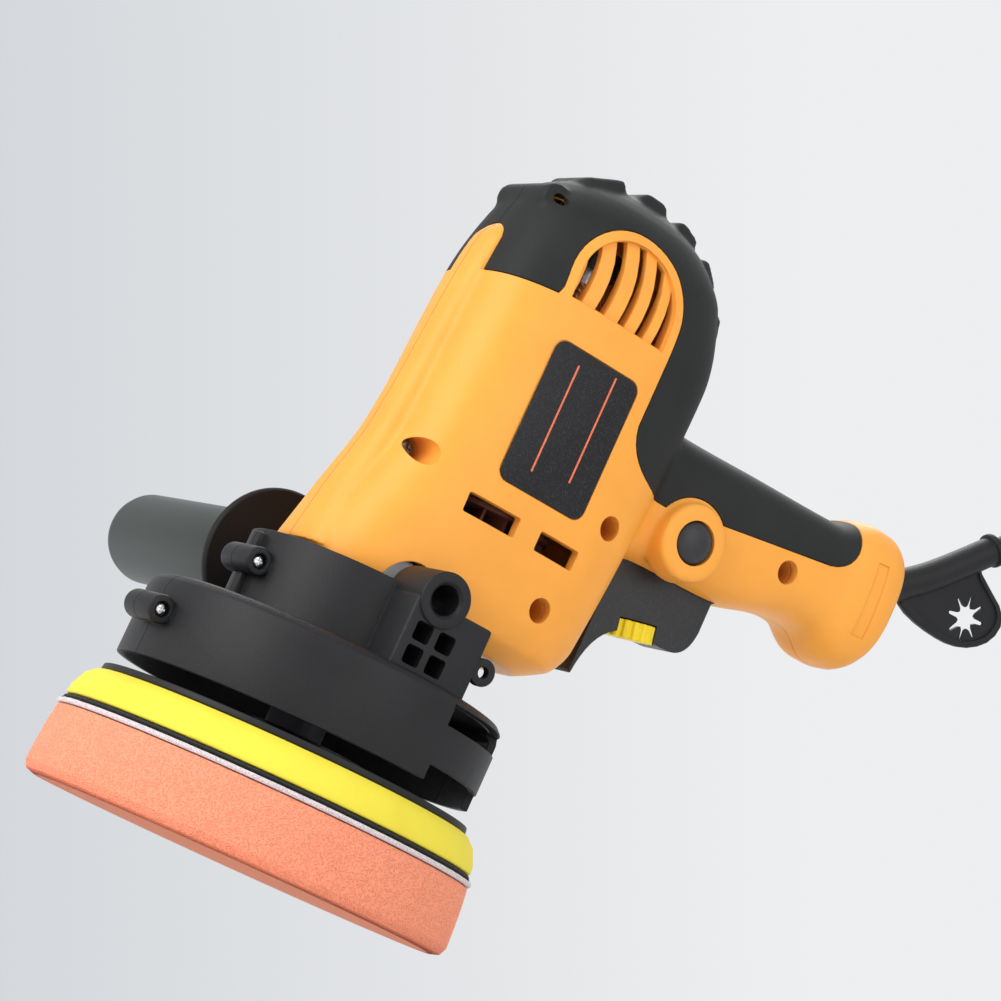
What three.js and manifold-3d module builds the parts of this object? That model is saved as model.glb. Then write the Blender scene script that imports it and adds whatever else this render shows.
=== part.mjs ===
// A corded rotary polisher: pistol-style motor body, closed trigger grip, side handle,
// guard shroud, hook-and-loop backing plate and foam pad.
// Millimetres. +Z runs up the spindle, +X runs along the trigger grip.
// The origin is the centre of the pad's working face, so the tool stands on its pad.

import * as THREE from 'three';
import { mergeVertices } from 'three/addons/utils/BufferGeometryUtils.js';
import Module from 'manifold-3d';

const wasm = await Module();
wasm.setup();

// ---------------------------------------------------------------- driving dimensions

const GAP = 0.3;                    // air left between pieces that touch
const SPLIT = 0.15;                 // each moulded half stops this far from the parting plane

const PAD_RADIUS = 75;
const PAD_HEIGHT = 24;
const PAD_EDGE = 3;                 // rounding of the pad's working edge
const PAD_TOP_RADIUS = 73.6;
const LOOP_THICKNESS = 1.7;
const HOOK_THICKNESS = 1.4;
const PLATE_FOAM_HEIGHT = 11.4;
const PLATE_BOTTOM_RADIUS = 72.4;
const PLATE_TOP_RADIUS = 66;
const PLATE_DISC_THICKNESS = 2.2;
const PLATE_HUB_RADIUS = 15;
const PLATE_HUB_RISE = 4;

const SPINDLE_RADIUS = 6;
const SPINDLE_THREAD_RADIUS = 5;
const LOWER_BEARING = { bore: 6, radius: 16, width: 10 };
const UPPER_BEARING = { bore: 4, radius: 11, width: 7 };
const SHAFT_RADIUS = 5;
const SHAFT_TOP_RADIUS = 4;
const MOTOR_LOWER_BEARING = { bore: 5, radius: 13, width: 8 };
const MOTOR_UPPER_BEARING = { bore: 4, radius: 11, width: 7 };

const GEAR_MODULE = 1.1;
const GEAR_TEETH = 45;
const PINION_TEETH = 8;
const GEAR_WIDTH = 8;
const TOOTH_RISE = 0.85;            // from the pitch circle to the tip, in modules
const TOOTH_DEPTH = 1.15;           // from the pitch circle to the root, in modules
const GEAR_CASE_CLEARANCE = 2.515;  // from the pinion's tips to the collar's inside

const SHROUD_RADIUS = 63.5;
const SHROUD_WALL = 2.6;
const SHROUD_CLEARANCE = 5.5;       // from the backing plate's top to the shroud's rim
const SHROUD_HEIGHT = 29;
const SHROUD_ROUND = 5;
const COLLAR_WALL = 3;
const COLLAR_HEIGHT = 26;
const HANDLE_BOSS_REACH = 57;
const HANDLE_BOSS_RADIUS = 9.2;
const HANDLE_BORE_RADIUS = 5;
const CLAMP_RADIUS = 4.8;
const CLAMP_HALF_LENGTH = 8.5;
const CLAMP_STAND = 2.6;            // from the collar's wall out to its clamp screw

const SIDE_GRIP_RADIUS = 17;
const SIDE_GRIP_LENGTH = 108;
const SIDE_FLANGE_RADIUS = 27;
const SIDE_FLANGE_THICKNESS = 3.5;

const BODY_WALL = 3.8;
const RUBBER_THICKNESS = 1.2;
const SCREW_HEAD_RADIUS = 3.7;
const SCREW_SHANK_RADIUS = 1.7;
const RECESS_RADIUS = 4.3;

const FAN_RADIUS = 26;
const FAN_HEIGHT = 13;
const FAN_BLADES = 9;
const ARMATURE_RADIUS = 20;
const STACK_HEIGHT = 40;
const STATOR_AIR_GAP = 0.7;
const STATOR_HALF_DEPTH = 30;
const STATOR_HALF_WIDTH = 27;
const COMMUTATOR_RADIUS = 11;
const COMMUTATOR_HEIGHT = 15;

const TRIGGER_TRAVEL = 6;
const TRIGGER_HALF_WIDTH = 9;
const BUTTON_RADIUS = 7.6;
const BUTTON_BOSS_RADIUS = 14.5;
const BUTTON_TRAVEL = 3;
const DIAL_RADIUS = 10.6;
const DIAL_HALF_HEIGHT = 3.2;
const BOOT_RADIUS = 6.1;
const CORD_RADIUS = 3.9;
const COIL_RADIUS = 42;
const COIL_TURNS_WIDE = 3;
const COIL_LAYERS = 2;

// ---------------------------------------------------------------- derived levels

const LOOP_Z = PAD_HEIGHT + GAP;
const HOOK_Z = LOOP_Z + LOOP_THICKNESS + GAP;
const FOAM_Z = HOOK_Z + HOOK_THICKNESS + GAP;
const DISC_Z = FOAM_Z + PLATE_FOAM_HEIGHT + GAP;
const PLATE_TOP_Z = DISC_Z + PLATE_DISC_THICKNESS;
const SHROUD_Z = PLATE_TOP_Z + SHROUD_CLEARANCE;
const COLLAR_Z = SHROUD_Z + SHROUD_HEIGHT;
const COLLAR_TOP_Z = COLLAR_Z + COLLAR_HEIGHT;
const LOWER_BEARING_Z = COLLAR_Z + 1;
const GEAR_Z = LOWER_BEARING_Z + LOWER_BEARING.width + 2;
const BEARING_PLATE_Z = COLLAR_TOP_Z + GAP;
const UPPER_BEARING_Z = BEARING_PLATE_Z + 0.6;
const MOTOR_X = GEAR_MODULE * (GEAR_TEETH + PINION_TEETH) / 2;
const PINION_TIP = GEAR_MODULE * (PINION_TEETH / 2 + TOOTH_RISE);
const COLLAR_RADIUS = MOTOR_X + PINION_TIP + GEAR_CASE_CLEARANCE + COLLAR_WALL;
const FAN_Z = BEARING_PLATE_Z + 26;
const STACK_Z = FAN_Z + FAN_HEIGHT + 16;
const COMMUTATOR_Z = STACK_Z + STACK_HEIGHT + 14;
const TOP_BEARING_Z = COMMUTATOR_Z + COMMUTATOR_HEIGHT + 7;
const HANDLE_BORE_Z = COLLAR_TOP_Z - 1;
const EYELET_Z = COLLAR_Z + 10.6;
const BODY_Z = COLLAR_TOP_Z - 2.4;  // the motor body's own heights are measured from here

// ---------------------------------------------------------------- solids and booleans

function solid(geometry) {
  const bare = geometry.index ? geometry.toNonIndexed() : geometry.clone();
  for (const name of Object.keys(bare.attributes)) {
    if (name !== 'position') bare.deleteAttribute(name);
  }
  const merged = mergeVertices(bare, 1e-4);
  const mesh = new wasm.Mesh({
    numProp: 3,
    vertProperties: new Float32Array(merged.attributes.position.array),
    triVerts: new Uint32Array(merged.index.array),
  });
  return new wasm.Manifold(mesh);
}

function geometryOf(body) {
  const mesh = body.getMesh();
  const geometry = new THREE.BufferGeometry();
  geometry.setAttribute('position', new THREE.BufferAttribute(mesh.vertProperties.slice(), 3));
  geometry.setIndex(new THREE.BufferAttribute(mesh.triVerts.slice(), 1));
  geometry.computeVertexNormals();
  return geometry;
}

function join(...bodies) {
  return bodies.reduce((sum, body) => sum.add(body));
}

function cut(body, ...tools) {
  return tools.reduce((rest, tool) => rest.subtract(tool), body);
}

function block(x0, x1, y0, y1, z0, z1) {
  const box = new THREE.BoxGeometry(x1 - x0, y1 - y0, z1 - z0);
  box.translate((x0 + x1) / 2, (y0 + y1) / 2, (z0 + z1) / 2);
  return solid(box);
}

// A cylinder whose axis is parallel to Z, from z0 to z1.
function postZ(radius, x, y, z0, z1, sides = 24) {
  const post = new THREE.CylinderGeometry(radius, radius, z1 - z0, sides);
  post.rotateX(Math.PI / 2);
  post.translate(x, y, (z0 + z1) / 2);
  return solid(post);
}

// A cylinder whose axis is parallel to Y, from y0 to y1.
function postY(radius, x, z, y0, y1, sides = 20, endRadius = radius) {
  const post = new THREE.CylinderGeometry(endRadius, radius, y1 - y0, sides);
  post.translate(x, (y0 + y1) / 2, z);
  return solid(post);
}

// A cylinder whose axis is parallel to X, from x0 to x1.
function postX(radius, y, z, x0, x1, sides = 20) {
  const post = new THREE.CylinderGeometry(radius, radius, x1 - x0, sides);
  post.rotateZ(Math.PI / 2);
  post.translate((x0 + x1) / 2, y, z);
  return solid(post);
}

// Turns a closed profile of [radius, z] about the vertical line through (x, y).
function turned(profile, x = 0, y = 0, sides = 32) {
  const closed = profile[0][0] === 0 ? profile : [...profile, profile[0]];
  const points = closed.map(([radius, z]) => new THREE.Vector2(radius, z));
  const shape = new THREE.LatheGeometry(points, sides);
  shape.rotateX(Math.PI / 2);
  shape.translate(x, y, 0);
  const body = solid(shape);
  return body.volume() < 0 ? solid(flipped(shape)) : body;
}

function flipped(geometry) {
  const index = geometry.index.array;
  for (let i = 0; i < index.length; i += 3) {
    [index[i], index[i + 1]] = [index[i + 1], index[i]];
  }
  return geometry;
}

// A flat outline in the X-Z plane, given thickness along Y.
function slabY(shape, y0, y1, curveSegments = 8) {
  const slab = new THREE.ExtrudeGeometry(shape, { depth: y1 - y0, bevelEnabled: false, curveSegments });
  slab.rotateX(Math.PI / 2);
  slab.translate(0, y1, 0);
  return solid(slab);
}

// A flat outline in the X-Y plane, given thickness along Z.
function slabZ(shape, z0, z1, curveSegments = 8) {
  const slab = new THREE.ExtrudeGeometry(shape, { depth: z1 - z0, bevelEnabled: false, curveSegments });
  slab.translate(0, 0, z0);
  return solid(slab);
}

function outline(points) {
  return new THREE.Shape(points.map(([u, v]) => new THREE.Vector2(u, v)));
}

function roundedRectangle(u0, u1, v0, v1, radius) {
  const shape = new THREE.Shape();
  shape.moveTo(u0 + radius, v0);
  shape.lineTo(u1 - radius, v0);
  shape.absarc(u1 - radius, v0 + radius, radius, -Math.PI / 2, 0);
  shape.lineTo(u1, v1 - radius);
  shape.absarc(u1 - radius, v1 - radius, radius, 0, Math.PI / 2);
  shape.lineTo(u0 + radius, v1);
  shape.absarc(u0 + radius, v1 - radius, radius, Math.PI / 2, Math.PI);
  shape.lineTo(u0, v0 + radius);
  shape.absarc(u0 + radius, v0 + radius, radius, Math.PI, 1.5 * Math.PI);
  return shape;
}

// Skins a stack of rings that all have the same number of points, and closes both ends.
function loft(rings) {
  const count = rings[0].length;
  const positions = [];
  const indices = [];
  const middle = (ring) => ring.reduce((sum, p) => sum.add(p), new THREE.Vector3()).divideScalar(count);
  for (const ring of rings) {
    for (const p of ring) positions.push(p.x, p.y, p.z);
  }
  for (const ring of [rings[0], rings[rings.length - 1]]) {
    const centre = middle(ring);
    positions.push(centre.x, centre.y, centre.z);
  }
  const first = rings.length * count;
  for (let i = 0; i < count; i++) {
    const next = (i + 1) % count;
    indices.push(first, next, i);
    indices.push(first + 1, first - count + i, first - count + next);
    for (let row = 0; row < rings.length - 1; row++) {
      const a = row * count;
      indices.push(a + i, a + next, a + count + i);
      indices.push(a + next, a + count + next, a + count + i);
    }
  }
  const geometry = new THREE.BufferGeometry();
  geometry.setAttribute('position', new THREE.BufferAttribute(new Float32Array(positions), 3));
  geometry.setIndex(indices);
  const body = solid(geometry);
  return body.volume() < 0 ? solid(flipped(geometry)) : body;
}

// A rounded rectangle as a ring: squareness 2 is an ellipse, higher is boxier.
function softRing(halfU, halfV, squareness, sides) {
  const ring = [];
  for (let i = 0; i < sides; i++) {
    const angle = 2 * Math.PI * (i + 0.5) / sides;
    const c = Math.cos(angle);
    const s = Math.sin(angle);
    ring.push([
      halfU * Math.sign(c) * Math.abs(c) ** (2 / squareness),
      halfV * Math.sign(s) * Math.abs(s) ** (2 / squareness),
    ]);
  }
  return ring;
}

const sideNames = [['left', -1], ['right', 1]];

function halfSpace(side) {
  const reach = 400;
  return side < 0
    ? block(-reach, reach, -reach, -SPLIT, -reach, reach)
    : block(-reach, reach, SPLIT, reach, -reach, reach);
}

// ---------------------------------------------------------------- scene graph

const group = new THREE.Group();

function add(name, body, color, roughness, metalness = 0) {
  const geometry = body.isBufferGeometry ? body : geometryOf(body);
  const mesh = new THREE.Mesh(geometry, new THREE.MeshStandardMaterial({ color, roughness, metalness }));
  mesh.name = name;
  group.add(mesh);
  return mesh;
}

const ORANGE = 0xf0992f;
const BLACK_PLASTIC = 0x2b2c2d;
const RUBBER = 0x262727;
const STEEL = 0xb9bcc0;
const COPPER = 0xb0622d;

// ---------------------------------------------------------------- pad and backing plate

function foamPad() {
  return turned([
    [0, 0], [PAD_RADIUS - PAD_EDGE, 0], [PAD_RADIUS - PAD_EDGE * 0.3, PAD_EDGE * 0.3],
    [PAD_RADIUS, PAD_EDGE], [PAD_TOP_RADIUS, PAD_HEIGHT], [0, PAD_HEIGHT],
  ]);
}

function roundDisc(radius, z0, z1) {
  return postZ(radius, 0, 0, z0, z1, 36);
}

function plateFoam() {
  const top = FOAM_Z + PLATE_FOAM_HEIGHT;
  const hole = PLATE_HUB_RADIUS + GAP;
  return turned([
    [hole, FOAM_Z], [PLATE_BOTTOM_RADIUS, FOAM_Z], [PLATE_BOTTOM_RADIUS - 0.5, FOAM_Z + 3],
    [PLATE_TOP_RADIUS, top], [hole, top],
  ]);
}

function plateDisc() {
  const thread = SPINDLE_THREAD_RADIUS + GAP;
  return turned([
    [thread, FOAM_Z], [PLATE_HUB_RADIUS, FOAM_Z], [PLATE_HUB_RADIUS, DISC_Z],
    [PLATE_TOP_RADIUS - 0.5, DISC_Z], [PLATE_TOP_RADIUS - 0.8, PLATE_TOP_Z],
    [PLATE_TOP_RADIUS - 8, PLATE_TOP_Z], [PLATE_HUB_RADIUS + 10, PLATE_TOP_Z + PLATE_HUB_RISE - 0.4],
    [PLATE_HUB_RADIUS, PLATE_TOP_Z + PLATE_HUB_RISE],
    [thread, PLATE_TOP_Z + PLATE_HUB_RISE],
  ]);
}

add('foam_pad', foamPad(), 0xff966e, 0.95);
add('pad_loop_layer', roundDisc(PAD_TOP_RADIUS, LOOP_Z, LOOP_Z + LOOP_THICKNESS), 0xf2eef0, 0.95);
add('plate_hook_layer', roundDisc(PLATE_BOTTOM_RADIUS, HOOK_Z, HOOK_Z + HOOK_THICKNESS), 0x1c1c1c, 0.9);
add('plate_foam', plateFoam(), 0xfae64b, 0.85);
add('plate_disc', plateDisc(), 0x3a3c3e, 0.6);

// ---------------------------------------------------------------- spindle and gearing

// A spur gear: each tooth is a trapezoid, narrow enough to leave backlash.
function toothedShape(teeth, phase) {
  const pitch = GEAR_MODULE * teeth / 2;
  const tip = pitch + GEAR_MODULE * TOOTH_RISE;
  const root = pitch - GEAR_MODULE * TOOTH_DEPTH;
  const step = 2 * Math.PI / teeth;
  const points = [];
  for (let i = 0; i < teeth; i++) {
    const middle = phase + i * step;
    for (const [radius, share] of [[root, -0.32], [tip, -0.11], [tip, 0.11], [root, 0.32]]) {
      const angle = middle + share * step;
      points.push([radius * Math.cos(angle), radius * Math.sin(angle)]);
    }
  }
  return outline(points);
}

function bearing(size, x, z) {
  const bore = size.bore + GAP;
  const profile = [[bore, z], [size.radius, z], [size.radius, z + size.width], [bore, z + size.width]];
  return turned(profile, x, 0, 24);
}

function spindle() {
  const collarTop = GEAR_Z - GAP;
  return turned([
    [0, FOAM_Z + 2], [SPINDLE_THREAD_RADIUS, FOAM_Z + 2],
    [SPINDLE_THREAD_RADIUS, PLATE_TOP_Z + PLATE_HUB_RISE + GAP],
    [PLATE_HUB_RADIUS - 5, PLATE_TOP_Z + PLATE_HUB_RISE + GAP],
    [PLATE_HUB_RADIUS - 5, LOWER_BEARING_Z - 9], [SPINDLE_RADIUS + 2, LOWER_BEARING_Z - 9],
    [SPINDLE_RADIUS + 2, LOWER_BEARING_Z - GAP], [SPINDLE_RADIUS, LOWER_BEARING_Z - GAP],
    [SPINDLE_RADIUS, collarTop + GEAR_WIDTH + 1], [UPPER_BEARING.bore, collarTop + GEAR_WIDTH + 1],
    [UPPER_BEARING.bore, UPPER_BEARING_Z + UPPER_BEARING.width - 1],
    [0, UPPER_BEARING_Z + UPPER_BEARING.width - 1],
  ], 0, 0, 24);
}

function driveGear() {
  const wheel = slabZ(toothedShape(GEAR_TEETH, 0), GEAR_Z, GEAR_Z + GEAR_WIDTH);
  const hole = postZ(SPINDLE_RADIUS + GAP, 0, 0, GEAR_Z - 1, GEAR_Z + GEAR_WIDTH + 1);
  return cut(wheel, hole);
}

// The shaft carries its own pinion at the foot, cut in mesh with the drive gear.
function armatureShaft() {
  const pinionTop = GEAR_Z + GEAR_WIDTH + 1;
  const halfStep = Math.PI / PINION_TEETH;
  const pinion = slabZ(toothedShape(PINION_TEETH, Math.PI + halfStep), GEAR_Z - 1, pinionTop);
  const shaft = turned([
    [0, pinionTop - 0.5], [GEAR_MODULE * (PINION_TEETH / 2 - TOOTH_DEPTH), pinionTop - 0.5],
    [SHAFT_RADIUS, pinionTop + 1.5], [SHAFT_RADIUS, COMMUTATOR_Z + COMMUTATOR_HEIGHT + 4],
    [SHAFT_TOP_RADIUS, COMMUTATOR_Z + COMMUTATOR_HEIGHT + 4],
    [SHAFT_TOP_RADIUS, TOP_BEARING_Z + MOTOR_UPPER_BEARING.width],
    [0, TOP_BEARING_Z + MOTOR_UPPER_BEARING.width],
  ], 0, 0, 20);
  return join(pinion, shaft);
}

add('spindle', spindle(), STEEL, 0.35, 1);
add('drive_gear', driveGear(), 0x8d9196, 0.4, 1);
add('spindle_bearing_lower', bearing(LOWER_BEARING, 0, LOWER_BEARING_Z), STEEL, 0.3, 1);
add('spindle_bearing_upper', bearing(UPPER_BEARING, 0, UPPER_BEARING_Z), STEEL, 0.3, 1);

const armature = new THREE.Group();
armature.position.set(MOTOR_X, 0, 0);
group.add(armature);
armature.add(add('armature_shaft', armatureShaft(), STEEL, 0.35, 1));

// ---------------------------------------------------------------- armature, fan and stator

function sleeve(radius, bore, z0, z1, sides = 24) {
  return turned([[bore, z0], [radius, z0], [radius, z1], [bore, z1]], 0, 0, sides);
}

function armatureCore() {
  const slots = 12;
  let core = sleeve(ARMATURE_RADIUS, SHAFT_RADIUS + GAP, STACK_Z, STACK_Z + STACK_HEIGHT, 36);
  for (let i = 0; i < slots; i++) {
    const angle = 2 * Math.PI * i / slots;
    const x = ARMATURE_RADIUS * Math.cos(angle);
    const y = ARMATURE_RADIUS * Math.sin(angle);
    core = cut(core, postZ(1.2, x, y, STACK_Z - 1, STACK_Z + STACK_HEIGHT + 1, 6));
  }
  return core;
}

function armatureWinding(z0, z1) {
  const bore = SHAFT_RADIUS + GAP;
  const edge = 3;
  return turned([
    [bore, z0], [ARMATURE_RADIUS - edge - 2, z0], [ARMATURE_RADIUS - 2, z0 + edge],
    [ARMATURE_RADIUS - 2, z1 - edge], [ARMATURE_RADIUS - edge - 2, z1], [bore, z1],
  ], 0, 0, 24);
}

function commutator() {
  return sleeve(COMMUTATOR_RADIUS, SHAFT_RADIUS + GAP, COMMUTATOR_Z, COMMUTATOR_Z + COMMUTATOR_HEIGHT);
}

function fan() {
  let wheel = sleeve(FAN_RADIUS, SHAFT_RADIUS + GAP, FAN_Z + FAN_HEIGHT - 2, FAN_Z + FAN_HEIGHT, 24);
  wheel = join(wheel, sleeve(10, SHAFT_RADIUS + GAP, FAN_Z, FAN_Z + FAN_HEIGHT - 1, 16));
  for (let i = 0; i < FAN_BLADES; i++) {
    const blade = new THREE.BoxGeometry(FAN_RADIUS - 9.5, 1.6, FAN_HEIGHT - 1);
    blade.translate((FAN_RADIUS + 9.5) / 2 - 0.5, 0, FAN_Z + (FAN_HEIGHT - 1) / 2);
    blade.rotateZ(2 * Math.PI * i / FAN_BLADES);
    wheel = join(wheel, solid(blade));
  }
  return wheel;
}

armature.add(add('armature_core', armatureCore(), 0x6c6f72, 0.5, 0.8));
armature.add(add('winding_lower', armatureWinding(STACK_Z - 11, STACK_Z - GAP), COPPER, 0.4, 0.8));
const windingTop = STACK_Z + STACK_HEIGHT;
armature.add(add('winding_upper', armatureWinding(windingTop + GAP, windingTop + 12), COPPER, 0.4, 0.8));
armature.add(add('commutator', commutator(), COPPER, 0.3, 1));
armature.add(add('cooling_fan', fan(), 0x5f372d, 0.7));

function statorShape() {
  const shape = roundedRectangle(
    MOTOR_X - STATOR_HALF_DEPTH, MOTOR_X + STATOR_HALF_DEPTH, -STATOR_HALF_WIDTH, STATOR_HALF_WIDTH, 14);
  const bore = new THREE.Path();
  bore.absarc(MOTOR_X, 0, ARMATURE_RADIUS + STATOR_AIR_GAP, 0, 2 * Math.PI, true);
  shape.holes.push(bore);
  return shape;
}

// One field coil sits on each side of the armature, wrapped round its pole.
function fieldCoil(side) {
  const inner = ARMATURE_RADIUS + 1;
  const outer = STATOR_HALF_DEPTH - 2;
  const arc = new THREE.Shape();
  const spread = 0.95;
  const centre = side > 0 ? 0 : Math.PI;
  arc.absarc(MOTOR_X, 0, outer, centre - spread, centre + spread, false);
  arc.absarc(MOTOR_X, 0, inner, centre + spread, centre - spread, true);
  return slabZ(arc, windingTop + GAP, windingTop + 9, 10);
}

add('stator_core', slabZ(statorShape(), STACK_Z, STACK_Z + STACK_HEIGHT, 10), 0x707377, 0.5, 0.8);
add('field_coil_front', fieldCoil(-1), COPPER, 0.4, 0.8);
add('field_coil_rear', fieldCoil(1), COPPER, 0.4, 0.8);

// ---------------------------------------------------------------- brushes

const BRUSH_Z = COMMUTATOR_Z + COMMUTATOR_HEIGHT / 2;

function brushParts(side) {
  const face = COMMUTATOR_RADIUS + 0.4;
  const along = (x0, x1) => side > 0 ? [MOTOR_X + x0, MOTOR_X + x1] : [MOTOR_X - x1, MOTOR_X - x0];
  const shell = block(...along(face + 2, face + 20), -6, 6, BRUSH_Z - 5, BRUSH_Z + 5);
  const bore = block(...along(face, face + 18.5), -3.3, 3.3, BRUSH_Z - 3.3, BRUSH_Z + 3.3);
  const carbon = block(...along(face, face + 9), -3, 3, BRUSH_Z - 3, BRUSH_Z + 3);
  const spring = postX(2.2, 0, BRUSH_Z, ...along(face + 9 + GAP, face + 18), 12);
  return { holder: cut(shell, bore), carbon, spring };
}

for (const [name, side] of [['front', -1], ['rear', 1]]) {
  const parts = brushParts(side);
  add('brush_holder_' + name, parts.holder, 0xc9a24a, 0.35, 1);
  add('carbon_brush_' + name, parts.carbon, 0x2a2a2c, 0.6);
  add('brush_spring_' + name, parts.spring, STEEL, 0.35, 1);
}

// ---------------------------------------------------------------- motor body and grip surfaces

const BODY_HALF_WIDTH = 34;

// Body stations up the motor: [height, front x, back x, half width, squareness].
const BODY_STATIONS = [
  [-4, -24, 62, 26, 3], [3, -31, 73.5, 32.5, 3], [12, -30, 77.5, 33.8, 3],
  [52, -16.5, 80, BODY_HALF_WIDTH, 3.3], [112, -13, 83, BODY_HALF_WIDTH, 3.2], [140, -8, 77.5, 30.5, 2.8],
  [152, 0, 68.5, 24.5, 2.5], [160, 15, 55, 15, 2.3], [163, 26, 43, 7, 2],
];

// Grip stations towards its end: [x, bottom height, top height, half width].
const GRIP_STATIONS = [
  [62, 42, 104, 19], [88, 50.5, 100, 21.3], [122, 52, 101, 21.4], [156, 60, 101.5, 20.8],
  [163, 58.5, 103.5, 21.2], [169, 54.5, 107, 21.8], [176, 53, 109, 22], [185, 53.5, 109, 22],
  [192, 58, 106.5, 20.8], [196.5, 68, 100, 16],
];

function bodyShape(inset, sides) {
  const last = BODY_STATIONS.length - 1;
  const rings = BODY_STATIONS.map(([height, front, back, halfWidth, squareness], i) => {
    const level = i === 0 ? height + inset : (i === last ? height - inset : height);
    const middle = (front + back) / 2;
    const ring = softRing((back - front) / 2 - inset, halfWidth - inset, squareness, sides);
    return ring.map(([u, v]) => new THREE.Vector3(middle + u, v, BODY_Z + level));
  });
  const ordered = rings.filter((ring, i) => i === 0 || ring[0].z > rings[i - 1][0].z);
  return loft(ordered);
}

function gripShape(inset, sides) {
  const last = GRIP_STATIONS.length - 1;
  const rings = GRIP_STATIONS.map(([x, bottom, top, halfWidth], i) => {
    const place = i === last ? x - inset : x;
    const middle = BODY_Z + (bottom + top) / 2;
    const ring = softRing(halfWidth - inset, (top - bottom) / 2 - inset, 2.8, sides);
    return ring.map(([u, v]) => new THREE.Vector3(place, u, middle + v));
  });
  const ordered = rings.filter((ring, i) => i === last || ring[0].x < rings[last][0].x - 0.5);
  return loft(ordered);
}

function skin(inset) {
  return join(bodyShape(inset, 22), gripShape(inset, 16));
}

// The same skin with fewer facets, for hollows that nothing else has to match.
function roughSkin(inset) {
  return join(bodyShape(inset, 12), gripShape(inset, 10));
}

// The raised spine down the front of the motor body: [height, front x, rear x, half width].
const SPINE_STATIONS = [
  [4, -36, -10, 20], [24, -29.5, -6, 14], [52, -22, -5, 10.5], [112, -16.5, -4, 9.5],
  [126, -14, -2, 8.5], [131.5, -9.5, 0, 5],
];

function spineShape(inset) {
  return loft(SPINE_STATIONS.map(([height, front, rear, halfWidth]) => {
    const middle = (front + rear) / 2;
    const ring = softRing((rear - front) / 2 - inset, halfWidth - inset, 2.6, 14);
    return ring.map(([u, v]) => new THREE.Vector3(middle + u, v, BODY_Z + height));
  }));
}

// The vent window: an arch on each flank, centred on ARCH_X.
const ARCH_X = 29.5;
const ARCH_Z = BODY_Z + 123;
const ARCH_RADIUS = 20;
const ARCH_FOOT_Z = BODY_Z + 114;
const ARCH_FRAME = 3.4;

function archShape(radius, foot) {
  const shape = new THREE.Shape();
  shape.moveTo(ARCH_X + radius, foot);
  shape.lineTo(ARCH_X + radius, ARCH_Z);
  shape.absarc(ARCH_X, ARCH_Z, radius, 0, Math.PI, false);
  shape.lineTo(ARCH_X - radius, foot);
  return shape;
}

const BUTTON_X = 98;
const BUTTON_Z = BODY_Z + 65;

// The part of the skin that is covered in soft rubber, seen from the side.
function rubberShape(inset) {
  const shape = new THREE.Shape();
  const frame = ARCH_RADIUS + ARCH_FRAME + inset;
  const boss = BUTTON_BOSS_RADIUS + 2 + inset;
  const start = Math.PI * 0.86;
  const end = Math.PI * 0.26;
  shape.moveTo(-13.5 + inset, BODY_Z + 112 + inset);
  shape.lineTo(ARCH_X - frame - 1, BODY_Z + 113 + inset);
  shape.lineTo(ARCH_X - frame, BODY_Z + 116 + inset);
  shape.lineTo(ARCH_X - frame, ARCH_Z);
  shape.absarc(ARCH_X, ARCH_Z, frame, Math.PI, 0, true);
  shape.lineTo(ARCH_X + frame, BODY_Z + 88);
  shape.quadraticCurveTo(
    ARCH_X + frame + 3, BODY_Z + 71.5 + inset,
    BUTTON_X + boss * Math.cos(start), BUTTON_Z + boss * Math.sin(start),
  );
  shape.absarc(BUTTON_X, BUTTON_Z, boss, start, end, true);
  shape.lineTo(158, BODY_Z + 84 + inset);
  shape.lineTo(165 - inset, BODY_Z + 87 + inset);
  shape.lineTo(168 - inset, BODY_Z + 93);
  shape.lineTo(170 - inset, BODY_Z + 130);
  shape.lineTo(130, BODY_Z + 200);
  shape.lineTo(-40, BODY_Z + 200);
  shape.lineTo(-40, BODY_Z + 114);
  shape.lineTo(-13.5 + inset, BODY_Z + 114);
  return shape;
}

// ---------------------------------------------------------------- body halves

const WIDE = 60;
const HOUSING_SCREWS = [
  ['screw_front', -12, BODY_Z + 46, 22], ['screw_lower', 47.5, BODY_Z + 17, 30],
  ['screw_middle', 60, BODY_Z + 53, 29], ['screw_upper', 0, BODY_Z + 141, 17],
  ['screw_grip', 142, BODY_Z + 74, 19],
];
const HEAD_DEPTH = 9;               // every housing screw's head sits this far from the parting plane
const HEAD_HEIGHT = 2.6;
const SCREW_BITE = 13;

const VENT_SLOTS = [[5, 26], [35, 52]];
const VENT_LOW_Z = BODY_Z + 33.5;
const VENT_HIGH_Z = BODY_Z + 40.5;

function headClearance() {
  const collar = postZ(COLLAR_RADIUS + GAP, 0, 0, COLLAR_Z, COLLAR_TOP_Z + GAP, 40);
  const boss = HANDLE_BOSS_RADIUS + 1;
  const root = COLLAR_RADIUS - 6;
  const near = postY(boss, 0, HANDLE_BORE_Z, -WIDE, -root);
  const far = postY(boss, 0, HANDLE_BORE_Z, root, WIDE);
  const blocks = block(-boss, 22 + GAP, -WIDE, WIDE, COLLAR_Z, COLLAR_TOP_Z + GAP);
  return join(collar, near, far, blocks);
}

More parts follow.
